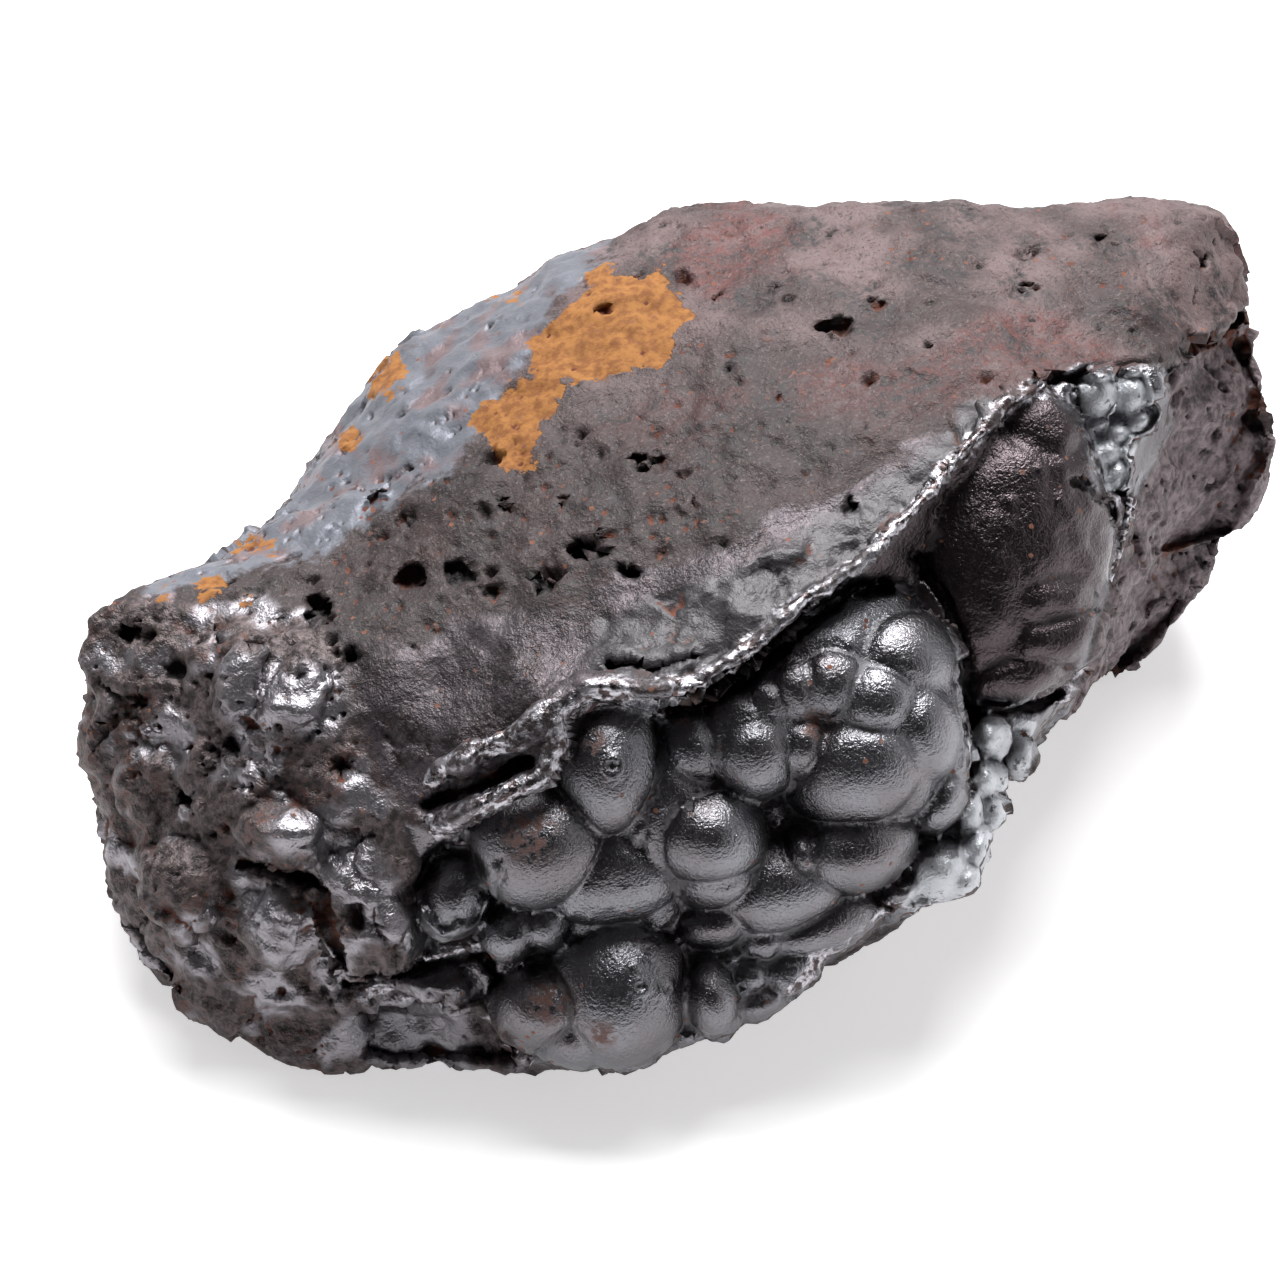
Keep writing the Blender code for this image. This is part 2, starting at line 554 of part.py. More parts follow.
def simplify(thing, rough):
    """Fewer triangles, and most of them kept where the bulbs are."""
    group = thing.vertex_groups.new(name="rough rock")
    for index, share in enumerate(rough):
        group.add([index], float(BULB_WEIGHT + (1.0 - BULB_WEIGHT) * share), "REPLACE")
    with_modifier(thing, "DECIMATE", ratio=TRIANGLES / (2 * len(thing.data.polygons)),
                  vertex_group=group.name, vertex_group_factor=BULB_CARE)
    thing.vertex_groups.clear()


def rest_flat(thing):
    """Cut level at the table, and closed with one flat foot."""
    mesh = bmesh.new()
    mesh.from_mesh(thing.data)
    bmesh.ops.bisect_plane(mesh, geom=mesh.verts[:] + mesh.edges[:] + mesh.faces[:],
                           plane_co=(0, 0, 0), plane_no=(0, 0, 1), clear_inner=True)
    edges = [edge for edge in mesh.edges if edge.is_boundary]
    bmesh.ops.holes_fill(mesh, edges=edges, sides=0)
    bmesh.ops.triangulate(mesh, faces=[face for face in mesh.faces if len(face.verts) > 3])
    mesh.to_mesh(thing.data)
    mesh.free()


def stand_at_origin(thing):
    """The long axis turned to +X, the foot's height kept, and the box centred, in metres."""
    thing.data.transform(Matrix.Rotation(-LONG_AXIS_TURN, 4, "Z"))
    rows = coordinates(thing)
    middle = (rows.min(axis=0) + rows.max(axis=0)) / 2
    thing.data.transform(Matrix.Translation((-middle[0], -middle[1], 0.0)))
    thing.data.transform(Matrix.Scale(MM, 4))


def hematite_material():
    """Dark grey metallic lustre of the bulbs, dulled by the rough rock around them."""
    material = bpy.data.materials.new("hematite")
    material.use_nodes = True
    shader = material.node_tree.nodes["Principled BSDF"]
    shader.inputs["Base Color"].default_value = (0.10, 0.085, 0.088, 1.0)
    shader.inputs["Metallic"].default_value = 0.6
    shader.inputs["Roughness"].default_value = 0.42
    return material


def main():
    """Build the specimen."""
    for old in list(bpy.data.objects):
        bpy.data.objects.remove(old)
    group = bpy.data.collections.new("Botryoidal hematite")
    bpy.context.scene.collection.children.link(group)
    shells = whole_shape()
    data = bpy.data.meshes.new(NAME)
    shells.to_mesh(data)
    shells.free()
    rock = bpy.data.objects.new(NAME, data)
    group.objects.link(rock)
    with_modifier(rock, "REMESH", mode="VOXEL", voxel_size=UNION_VOXEL)
    carve_seen(rock)
    with_modifier(rock, "REMESH", mode="VOXEL", voxel_size=FINE_VOXEL)
    keep_largest(rock)
    rough = roughen(rock)
    simplify(rock, rough)
    rest_flat(rock)
    stand_at_origin(rock)
    rock.data.shade_smooth()
    rock.data.set_sharp_from_angle(angle=CREASE)
    rock.data.materials.append(hematite_material())


main()
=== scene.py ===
import math
from types import SimpleNamespace

import bmesh
import bpy
import numpy as np
from mathutils import Matrix, Vector, noise


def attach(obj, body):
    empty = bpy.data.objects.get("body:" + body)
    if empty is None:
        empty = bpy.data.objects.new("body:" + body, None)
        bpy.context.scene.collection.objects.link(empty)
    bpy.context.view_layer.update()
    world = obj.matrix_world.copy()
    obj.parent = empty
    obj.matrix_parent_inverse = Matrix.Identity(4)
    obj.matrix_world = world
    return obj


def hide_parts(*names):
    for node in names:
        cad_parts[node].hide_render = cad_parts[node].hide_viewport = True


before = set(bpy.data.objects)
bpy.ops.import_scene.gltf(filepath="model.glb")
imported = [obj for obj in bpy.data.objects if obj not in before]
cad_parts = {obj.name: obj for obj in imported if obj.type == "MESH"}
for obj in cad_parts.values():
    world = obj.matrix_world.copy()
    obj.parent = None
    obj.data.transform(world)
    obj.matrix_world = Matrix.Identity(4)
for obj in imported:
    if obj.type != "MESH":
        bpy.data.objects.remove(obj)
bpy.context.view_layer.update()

# Lengths are in millimetres and seen places in points of the 1280-point field, unless said.
MM = 0.001
FAR = 1e9

# The sight: how it is tilted, how far off the eye stands, and its scale
SIGHT_TILT = math.radians(45.0)
SIGHT_DISTANCE = 296.3
SIGHT_HEIGHT = 21.2
POINTS_PER_MM = 12.0
FIELD_CENTRE = 640.0
# The camera; its nearest sight is in metres
LENS = 100.0
SENSOR = 36.0
NEAREST_SIGHT = 0.01

# Turn of the specimen's long axis from the sight's right
LONG_AXIS_TURN = math.radians(30.0)

# Grain of the model
BODY_SUBDIVISIONS = 3
BODY_SMOOTHINGS = 6
BULB_SUBDIVISIONS = 4
WELD = 0.0001
FINE_VOXEL = 0.38
TRIANGLES = 196000
# How strongly the seen side's triangles are kept
SEEN_WEIGHT = 0.5
SEEN_CARE = 0.02

# Waviness of carved edges and pits: points, wavelength, layers, shifts
WOBBLE = (5.0, 2.9, 3, (0.0, 40.0))
RAGGED = (8.0, 1.1, 2, (90.0, -90.0))
# Where groove and pit walls end, as shares of the half width
GROOVE_FLOOR = 0.35
PIT_FLOOR = 0.55
# Facings at which carving, then colour, fades out
FACING_NONE = 0.05
FACING_FULL = 0.35
SHOWN = (-FACING_NONE, FACING_FULL / 2)

# Layered noise: how its layers weaken and grow finer
LAYERING = (0.9, 2.1)
# Shifts that keep uses of the noise apart
APART = (0.0, 40.0, 90.0)

# Swell and broken faces: heights and wavelengths
SWELL = 0.6
SWELL_LENGTH = 9.0
BULB_SWELL = 0.06
BROKEN = 0.3
BROKEN_LENGTH = 3.3
# Chips: height and size, how far they wander, how steeply they slant
CHIPS = ((1.5, 11.0), (0.5, 5.0))
CHIP_WANDER = 1.2
CHIP_SLANT = 1.6
CHIP_RISE = 0.5
CHIP_SHIFTS = (Vector((0.0, 0.0, 0.0)), Vector((31.4, 0.0, 0.0)), Vector((0.0, 47.1, 0.0)))
CELL_SPREAD = 7.3
# Slopes between which a face is worn: for chips, then for grain
WORN_SLOPES = (0.55, 0.85)
WORN_GRAIN_SLOPES = (0.45, 0.8)
# Width of the change from bulbs to rough rock
BULB_EDGE = (-0.8, 0.6)

# Skin drawn onto the bulbs: inside their area, near to them, how often
SNAP_EDGE = (-0.5, 0.5)
SNAP_REACH = (0.35, 0.7)
SNAP_ROUNDS = 2
# Creases: depth, and gaps to the second and the nearest bulb
CREASE_DEPTH = 0.25
CREASE_WIDTH = (0.05, 0.6)
CREASE_SKIN = (0.3, 0.6)
# How far a ledge's crust reaches past it
CRUST_REACH = 0.25
# Areas are kept as distances inside them, this far at most
AREA_REACH = 6.0

# Where each area's fine relief begins and is full
RELIEF_EDGES = {
    "crust": (-0.3, 0.3), "bulbs": (-0.5, 0.7), "left_lumps": (-1.5, 1.5), "skin": (-1.0, 1.0),
    "rim_chips": (-0.8, 0.5), "pore_band": (-4.0, 3.0), "panel": (-1.0, 1.5), "vug": (-0.8, 0.0),
    "grainy_end": (-1.0, 1.0),
}
# Fine relief: height, wavelength, layers, shift
LUMP_RIDGES = [(0.45, 6.0, 2, 40.0), (0.10, 2.4, 2, 90.0)]
LUMP_RELIEF = [(0.34, 1.7, 3, 0.0)]
WORN_RELIEF = [(0.30, 3.1, 3, 0.0), (0.15, 1.2, 2, 90.0)]
BROKEN_RELIEF = [(0.34, 2.2, 3, 0.0)]
CRUST_RELIEF = [(0.22, 2.0, 2, 0.0), (0.12, 0.8, 2, 40.0)]
BULB_RELIEF = [(0.07, 3.0, 2, 0.0)]
PANEL_RELIEF = [(0.30, 4.5, 2, 0.0), (0.18, 1.9, 2, 0.0)]
# Chips behind the rim: height, size and shift
RIM_CHIP_SIZES = [(0.60, 3.6, 0.0), (0.20, 1.7, 40.0)]
# How far the skin behind the rim lacks worn relief and pores
SKIN_EVENS = 0.6
SKIN_CLOSES = 0.8
# Pimples on the bulbs, and more of them around one seen spot
PIMPLES = 0.02
PIMPLE_LENGTH = 1.0
MORE_PIMPLES = 0.05
PIMPLED_SPOT = (622.0, 935.0)
PIMPLED_FADE = (70.0, 30.0)
# Pores: cell size, depth, shift, share of the pored and of the rough cells
PORES = [(3.6, 1.3, 0.0, 1.0, 0.0), (1.9, 0.7, 90.0, 1.0, 0.08), (1.2, 0.4, 40.0, 1.4, 0.0)]
# Share of pored cells, and more in the band and at the right end
PORE_SHARE = 0.30
BAND_PORES = 0.20
END_PORES = 0.15
# Pores' least radius and spread, steepness, wander and its wavelength
PORE_RADIUS = (0.22, 0.55)
PORE_STEEPNESS = 2.4
PORE_WANDER = (0.7, 1.6)
# Droplets and ring craters, as shares of the half width
DROPLET_HEIGHT = 0.55
RING_HEIGHT = 0.40
RING_PLACE = 0.8
RING_WIDTH = 0.25
CRATER_DEPTH = 0.55
CRATER_WIDTH = 0.45

# How far each area's edge wanders; wavelength and layers of that noise
EDGE_WANDER = {
    "bulbs": 0.25, "blue_face": 1.1, "ochre": 1.1, "vug": 0.2, "left_lumps": 1.6,
    "rim_chips": 0.8, "grainy_end": 0.6, "crust": 0.5, "panel": 0.8, "skin": 1.2,
}
WANDER_NOISE = (2.6, 4)
# Hollows: rounds of evening out that find them, and their depth; painted shade darkens them, and the small
# ones also place rust
HOLLOWS = {"small_hollow": (4, 0.12), "deep_hollow": (40, 0.8)}
# Patches of colour: shift, wavelength, layers, squash in height, where they rise
PATCHES = {
    "tone": (0.0, 7.0, 4, 1.0, (-0.5, 0.5)), "red": (130.0, 12.0, 5, 1.0, (0.05, 0.45)),
    "streak": (170.0, 5.0, 5, 2.0, (0.15, 0.45)), "rusty": (210.0, 5.0, 3, 1.0, (0.0, 0.35)),
    "shiny": (250.0, 4.2, 3, 1.0, (0.10, 0.40)), "mottle": (290.0, 4.5, 5, 1.0, (-0.05, 0.35)),
}
# How glints and stains fade, in shares of their reach
GLINT_FADE = (0.5, 1.0)
STAIN_FADE = (0.2, 1.0)
# Seen rows between which painted shade darkens the upper face towards the rim
RIMWARD_SHADE_ROWS = (280.0, 480.0)

# Colours as they look on a screen, 0 to 255
PALETTE = {
    "worn dark": (60, 46, 46), "worn pale": (101, 83, 83), "reddish": (98, 56, 53),
    # The next row's first colour is painted shade for the upper face towards the rim
    "painted rimward shade": (38, 29, 30), "skin dark": (54, 49, 52), "skin pale": (80, 74, 78),
    "mottle": (40, 34, 35), "grain pale": (116, 100, 99), "grain dark": (36, 29, 30),
    # The next row's middle colour is partly the blue face's own blue-grey and partly painted sheen
    "unseen": (70, 60, 60), "blue-grey and painted sheen": (106, 108, 116), "pink": (114, 98, 100),
    "lump dark": (46, 38, 38), "lump pale": (104, 92, 92), "lump rust": (84, 56, 48),
    # The next row's first colour is paler lustre, and also painted highlight on the left face's ridges
    "glint": (146, 143, 148), "chip": (60, 58, 61), "end dark": (78, 67, 70),
    # The next row's middle colour is painted shade in the pits
    "end pale": (138, 124, 127), "pit": (34, 29, 30), "rust": (112, 62, 44),
    # The next row's last colour is the ochre darkened by painted shade in its pits
    "ochre dark": (118, 70, 27), "ochre pale": (148, 98, 45), "ochre painted pit shade": (92, 42, 20),
    "metal warm": (106, 103, 106), "metal cool": (118, 118, 122), "panel": (74, 67, 69),
    "crust dark": (76, 66, 66), "crust pale": (184, 182, 188), "vug dark": (90, 90, 93),
    # The next row's first colour: the pale crystals, also painted sheen on the broken edge
    "vug pale": (188, 191, 196), "speck": (118, 74, 56), "stain": (104, 62, 46),
    # Painted shade for the deep hollows
    "shade": (28, 25, 26),
}
# Grains of the material: size, detail, shift and roughness
FINE_GRAIN = (0.8, 3.0, 13.0, 0.6)
MICRO_GRAIN = (0.32, 2.0, 29.0, 0.75)
# Where each area's colour begins and is full, and how ragged its edge is
COLOUR_EDGES = {
    "bulbs": (-0.3, 0.2, 0.8), "crust": (-0.2, 0.4, 1.2), "vug": (-0.2, 0.1, 0.4),
    "blue_face": (-0.4, 0.6, 2.0), "ochre": (-0.08, 0.10, 1.6), "left_lumps": (-0.8, 0.8, 0.8),
    "rim_chips": (-0.5, 0.5, 0.8), "grainy_end": (-0.5, 0.5, 0.8), "panel": (-0.5, 0.5, 0.8),
    "skin": (-0.5, 0.5, 0.8),
}
# Depths between which a pit and a deep hollow turn dark with painted shade
PIT = (0.30, 1.5)
DEEP_HOLLOW_SHADE = (0.35, 1.3)
# Where a grain passes from a mixture's first colour to its second
EVEN = (0.35, 0.65)
DARK_EVEN = (0.65, 0.35)
WIDE = (0.25, 0.75)
CRISP = (0.42, 0.58)
MOSTLY_PALE = (0.30, 0.42)
RUST_GRAIN = (0.45, 0.65)
STAIN_GRAIN = (0.40, 0.60)
PALE_GRAIN = (0.55, 0.72)
DARK_GRAIN = (0.46, 0.30)
# Rust specks: spacing, and where they end and are full
SPECK_SPACING = 1.7
SPECK_EDGE = (0.15, 0.10)
# Finish of plain rock and dull patches, and the fine grain's sway of it
ROCK_METALLIC = 0.25
ROCK_ROUGHNESS = 0.62
DULL_ROUGHNESS = 0.85
ROUGHNESS_SWAY = 0.2
# Bump heights of the fine and micro grain, and their gain on the lumps
ROCK_BUMP = (0.16, 0.10)
PANEL_BUMP = (0.10, 0.12)
BULB_BUMP = 0.12
LUMP_BUMP = 1.5

# Pale table: half size in metres, and its look
FLOOR_HALF = 2.0
FLOOR_LOOK = {
    "Base Color": (0.70, 0.695, 0.70, 1.0), "Emission Color": (1.0, 0.99, 1.0, 1.0),
    "Emission Strength": 0.58, "Roughness": 0.7, "Specular IOR Level": 0.2,
}
# Dark room, with pale walls on the right and behind: way, rise, colour
ROOM_DARK = (0.04, 0.037, 0.038, 1.0)
WALLS = [
    ((1.0, 0.35, 0.1), (0.55, 0.9), (0.95, 0.95, 0.96, 1.0)),
    ((-0.2, 1.0, 0.5), (0.30, 0.8), (0.70, 0.70, 0.71, 1.0)),
]
# Soft lamp behind and above, its sides in metres
WINDOW_PLACE = (30.0, 440.0, 860.0)
WINDOW_SIDES = (0.65, 0.55)
WINDOW_WATTS = 21.0

# A point well inside the rock, from which every landmark can be seen
HEART = Vector((3.0, -15.0, 19.0))

# Body landmarks: seen point and height over the table
SKYLINE = [
    (165, 603, 29), (195, 560, 27), (240, 532, 27), (290, 497, 26), (345, 430, 28),
    (365, 375, 30), (400, 330, 31), (455, 304, 32), (510, 279, 33), (545, 246, 35),
    (600, 232, 37), (660, 212, 39), (740, 199, 40), (840, 189, 42), (930, 195, 42),
    (1040, 207, 41), (1110, 210, 41), (1170, 198, 41), (1222, 199, 40), (1240, 255, 37),
    (1255, 320, 33), (1249, 345, 31), (1270, 400, 28), (1280, 450, 23), (1268, 495, 19),
    (1230, 540, 15), (1200, 595, 9), (1165, 648, 3), (1138, 670, 0.5), (1080, 692, 0.5),
]
FRONT_EDGE = [
    (1060, 703, 21), (1030, 740, 19), (1000, 785, 17), (990, 850, 15), (950, 898, 14),
    (880, 912, 13), (815, 955, 12), (780, 1003, 10), (735, 1028, 9), (680, 1055, 6),
    (600, 1070, 4), (540, 1071, 3), (470, 1064, 2), (400, 1062, 1), (330, 1075, 0.5),
    (270, 1050, 2), (210, 1015, 3), (165, 980, 4), (135, 925, 7), (110, 880, 10),
    (104, 820, 13), (84, 740, 19), (73, 660, 25), (82, 625, 27), (105, 609, 28),
]
TOP_FACE = [
    (350, 560, 31), (450, 470, 35), (520, 380, 38), (570, 300, 39.5), (640, 240, 40),
    (700, 350, 40.5), (850, 350, 42), (1000, 300, 43), (1150, 300, 41.5), (600, 480, 38),
    (750, 500, 40), (900, 430, 42), (470, 600, 34), (600, 600, 36), (760, 590, 38.5),
    (250, 600, 29.5), (840, 260, 42.5), (300, 640, 30), (1060, 250, 42.5), (420, 400, 33.5),
]
RIM = [
    (1045, 385, 43), (1000, 412, 42.5), (950, 462, 41.5), (900, 520, 40), (860, 565, 39),
    (800, 605, 38), (740, 655, 36.5), (690, 690, 35.5), (640, 690, 35), (580, 680, 34),
    (550, 715, 33), (500, 750, 30), (430, 830, 25),
]
VUG_ROOF = [(1150, 375, 40), (1200, 340, 38), (1240, 310, 35)]
RIGHT_END = [
    (1180, 400, 33), (1220, 450, 25), (1180, 500, 22), (1150, 560, 15), (1130, 620, 8),
]
LEFT_FACE = [
    (150, 680, 26), (220, 660, 29), (300, 720, 28), (370, 700, 30), (160, 780, 20),
    (240, 780, 24), (330, 800, 24), (400, 790, 26), (160, 870, 13), (240, 870, 18),
    (320, 880, 18.5), (200, 940, 10), (270, 950, 12), (340, 980, 9), (300, 1020, 5),
    (400, 960, 11.5), (440, 960, 12),
]
# The hollow of the bulbs and the panel: seen point and nearness to the eye
HOLLOW = [
    (700, 730, 18), (780, 665, 17), (850, 620, 15.5), (915, 575, 12.5), (960, 660, 9.5),
    (970, 740, 7.5), (850, 730, 14), (780, 840, 15), (900, 850, 11.5), (940, 790, 10),
    (700, 930, 14.5), (790, 920, 12.5), (640, 880, 16), (570, 900, 15.5), (560, 820, 17.5),
    (500, 830, 17.5), (620, 790, 18), (500, 920, 14.5), (450, 900, 14.5), (600, 985, 13),
    (520, 1000, 12), (400, 1010, 9), (700, 1000, 12),
]
PANEL = [
    (985, 470, 13.5), (1040, 440, 11), (1090, 450, 6), (1120, 500, 4.5), (960, 540, 11.5),
    (1040, 530, 10), (1105, 560, 4.2), (1000, 620, 8.5), (1060, 620, 6.5), (1085, 645, 4),
    (1000, 690, 5.5), (1040, 690, 5),
]

# Hidden side: right, back and height in the sight's frame
BACK = [
    (53, 11, 27), (47, 22, 20), (36, 23, 30), (30, 27, 17), (16, 24, 27), (12, 28, 14),
    (2, 21, 25), (-6, 24, 15), (-14, 15, 22), (-22, 13, 12), (-30, 1, 19), (-37, -5, 11),
    (-43, -19, 17), (-46, -24, 9), (54, 4, 12), (49, 14, 7), (33, 25, 7), (8, 24, 5),
    (-12, 18, 6), (-33, -2, 5),
]
UNDERSIDE = [
    (-30, -48), (-8, -48), (12, -38), (26, -22), (38, -8), (45, 5), (38, 20), (15, 25),
    (-10, 13), (-30, -5), (-42, -25), (-40, -38),
]
BELOW_TABLE = -3.0

# Bulbs: seen centre, its nearness, half width, half height, bulge, turn and lean in degrees
BULBS = [
    (868, 716, 12.5, 7.7, 9.3, 7.6, 0, 8), (790, 690, 12, 12.5, 7.5, 8, 28), (660, 790, 15, 6, 8, 5.6),
    (600, 862, 14.4, 7.5, 5.2, 5.6), (765, 882, 11.6, 7, 4.6, 5.6, 10), (888, 668, 13.4, 5.6, 5.2, 6.2),
    (858, 758, 14.2, 6.6, 5.6, 6.6, 22), (908, 722, 13, 4.4, 6, 6.8, 10), (873, 700, 17, 4, 3.6, 4),
    (828, 684, 17.4, 3.6, 3.4, 3.6), (812, 668, 13.6, 6, 4.6, 5.6, 20), (745, 728, 15.3, 6.4, 5.2, 5.8, 20),
    (797, 690, 17.6, 3.3, 3.2, 3.3), (767, 706, 17.8, 3, 3, 3.1), (750, 745, 16, 4.6, 4.6, 5.6, 15),
    (692, 746, 16.4, 3.3, 3.9, 4.9, 10), (800, 742, 17, 2.8, 3, 3.4), (946, 738, 9.5, 2, 5.2, 5.4, 8),
    (938, 796, 9.6, 2.3, 3.6, 5.2, -25), (706, 834, 15.4, 5, 4.5, 6.6, -12),
    (712, 866, 13.2, 4.3, 3.7, 6.2, -12), (848, 846, 11, 5.8, 4, 7, 16), (802, 852, 11.6, 2.6, 2.9, 5.6),
    (540, 842, 16.2, 5.9, 5.4, 6.6, 20), (609, 762, 17.7, 4.5, 6, 5.8, -5), (600, 726, 16.8, 4.6, 3.2, 5.2),
    (455, 893, 15.2, 3, 3.7, 4.8, -20), (616, 985, 10.8, 6.2, 6.9, 7.2, -18),
    (546, 1004, 12, 4.2, 3.5, 5.2, 8), (580, 1025, 10.8, 4, 3.6, 5.2), (711, 992, 10.6, 2.6, 3.8, 5.4, 12),
    (720, 1012, 10.4, 2.2, 2.2, 3.6, 12), (516, 930, 13.6, 3.2, 2.5, 4.2, 35),
    (543, 922, 13.4, 2.8, 2.6, 4.2, 50), (600, 900, 11.6, 5.6, 4.6, 4.6), (650, 880, 12.6, 3.4, 4.6, 3.8),
    (716, 920, 11.4, 3.8, 2.4, 4.8, 10), (808, 924, 8.2, 6.6, 3.2, 6, 18), (760, 935, 10, 3.2, 2.6, 4.4),
    (788, 968, 9.6, 3, 2.4, 3.8, 20), (751, 972, 10.2, 1.9, 1.9, 3.8), (760, 1000, 9.6, 2.8, 1.6, 3.2, 25),
    (900, 890, 8.8, 2, 1.2, 3.6, 20), (934, 866, 8.4, 2.8, 2.6, 4.4, 30), (974, 848, 7, 1.2, 2.2, 3.8, -20),
    (990, 812, 5.4, 1.2, 1.8, 3.2), (962, 880, 8.5, 1.8, 1.3, 3, 30), (985, 735, 6.6, 1.6, 1.8, 3.8),
    (1016, 757, 4.6, 1.4, 1.7, 3.2, -30), (980, 778, 6.4, 1.5, 1.7, 3.6), (966, 810, 7.2, 1.4, 2.2, 3.6),
    (368, 905, 12.6, 5.2, 6.2, 5.2, 5), (394, 858, 13.4, 3.6, 3.2, 4.6), (290, 836, 13.4, 4.6, 3, 4.8, -10),
    (480, 768, 16.6, 4.6, 2.6, 4.8, 32), (440, 984, 8.8, 3.8, 1.9, 4.4, 8),
    (284, 925, 11.2, 3.4, 3.6, 4.8, 20), (300, 712, 12.3, 3, 5.4, 4.6, -25),
    (245, 690, 11, 2.4, 4.6, 4.4, -15), (360, 780, 12.8, 4, 4.6, 4.6), (200, 880, 8, 3.6, 4.6, 4.6),
    (170, 770, 6, 3.6, 5, 4.4), (1010, 540, 6.9, 9.2, 13, 6.6, -16, 26),
    (1024, 448, 6.9, 5.2, 5.6, 5.2, 0, 12), (1000, 506, 7, 6.4, 7, 5.6, -20, 15),
    (1050, 530, 5.6, 4.8, 6, 5.4, -10, 18), (1024, 598, 8.3, 6, 3.7, 5, 8, 15),
    (1006, 668, 7.1, 5.2, 3.1, 5, 14, 12), (1032, 634, 7.8, 5.6, 3.4, 4.8, 12, 16),
    (1097, 394, 6.6, 1.9, 2, 3.2), (1131, 393, 5.8, 1.6, 2, 3.2), (1141, 420, 5, 1.7, 1.1, 3, 35),
    (1118, 434, 5.2, 1.4, 1.1, 2.8, 25), (1099, 424, 5.6, 0.9, 0.8, 2.6), (1107, 452, 5.4, 1.5, 1.3, 2.8),
    (1116, 474, 4.9, 1.2, 1.6, 2.8, -15),
]

# Ledges and broken edges: seen points with nearness, and the half thickness of each lip
LEDGES = [
    [(1062, 396, 8.6, 0.7), (1030, 388, 10.6, 0.7), (998, 412, 12.6, 0.7), (955, 460, 15, 0.6),
     (905, 518, 17.4, 0.6), (862, 562, 19.4, 0.7), (800, 606, 21.2, 0.7), (745, 652, 22.4, 0.7),
     (692, 688, 23.2, 0.7), (640, 690, 23.6, 0.7), (585, 690, 23.4, 0.9), (556, 708, 23.2, 0.9)],
    [(556, 708, 23.2, 0.9), (520, 736, 23.2, 0.8), (470, 756, 22.6, 0.8), (428, 784, 21, 0.8)],
    [(556, 708, 23.2, 0.8), (558, 745, 23.4, 0.6), (545, 776, 23.4, 0.7), (505, 792, 23.2, 0.8),
     (470, 810, 22.4, 0.8), (430, 830, 20.6, 0.9)],
    [(1062, 396, 8.6, 0.7), (1090, 440, 7.4, 0.5), (1098, 480, 6.6, 0.5), (1128, 500, 5, 0.5)],
    [(1128, 500, 4.6, 0.45), (1118, 555, 4.2, 0.45), (1100, 610, 4, 0.45), (1086, 650, 3.8, 0.45),
     (1062, 700, 3.4, 0.5)],
    [(995, 790, 5.4, 0.6), (985, 855, 7.6, 0.6), (945, 895, 10.2, 0.6), (880, 910, 11.2, 0.5),
     (830, 945, 12.2, 0.5), (790, 990, 12.4, 0.5)],
    [(345, 1000, 8.8, 0.6), (380, 985, 10, 0.5), (430, 1003, 10.2, 0.6), (480, 1000, 10.8, 0.7),
     (505, 1030, 10.2, 0.6), (530, 1062, 9.6, 0.7)],
    [(340, 985, 9.4, 0.7), (380, 962, 11.4, 0.6), (430, 960, 12.2, 0.6), (470, 955, 13, 0.6)],
]

# Grooves and slits: seen path, half width and depth
GROOVES = [
    ([(885, 585), (850, 590), (805, 622), (760, 660), (715, 693), (670, 708)], 1, 2.6),
    ([(915, 560), (945, 600), (963, 650), (972, 720), (974, 770)], 0.7, 1.8),
    ([(612, 666), (650, 668), (692, 656)], 0.55, 2.4),
    ([(245, 866), (280, 872), (315, 890), (324, 925), (338, 968)], 0.7, 1.8),
    ([(138, 925), (152, 952), (178, 985)], 1, 3),
    ([(342, 985), (400, 975), (443, 960), (482, 957), (497, 980)], 0.55, 1.8),
    ([(428, 804), (460, 792), (501, 777), (535, 760)], 0.8, 2.2),
    ([(1036, 380), (1062, 377), (1092, 377)], 0.5, 3),
    ([(1150, 380), (1176, 366), (1206, 342), (1240, 318)], 0.6, 2.2),
    ([(655, 700), (662, 740), (655, 800), (640, 850)], 0.35, 0.5),
    ([(470, 920), (495, 905), (500, 860)], 0.3, 0.6),
    ([(1075, 480), (1108, 500), (1122, 520)], 0.5, 1.6),
    ([(985, 705), (1030, 708), (1062, 696)], 0.5, 1.8),
]
# Faces broken back: seen outline, slope and depth
BREAKS = [
    ([(355, 1008), (480, 1006), (510, 1036), (520, 1066), (440, 1062), (360, 1058)], 0.5, 2.2),
    ([(415, 858), (440, 842), (478, 850), (492, 885), (478, 925), (440, 935), (412, 905)], 0.6, 1.5),
    ([(1070, 378), (1156, 368), (1168, 412), (1136, 500), (1098, 496), (1078, 420)], 0.3, 1.6),
    ([(1150, 380), (1238, 325), (1255, 350), (1275, 450), (1200, 600), (1140, 660), (1092, 680),
      (1118, 560), (1136, 480)], 0.6, 2),
]
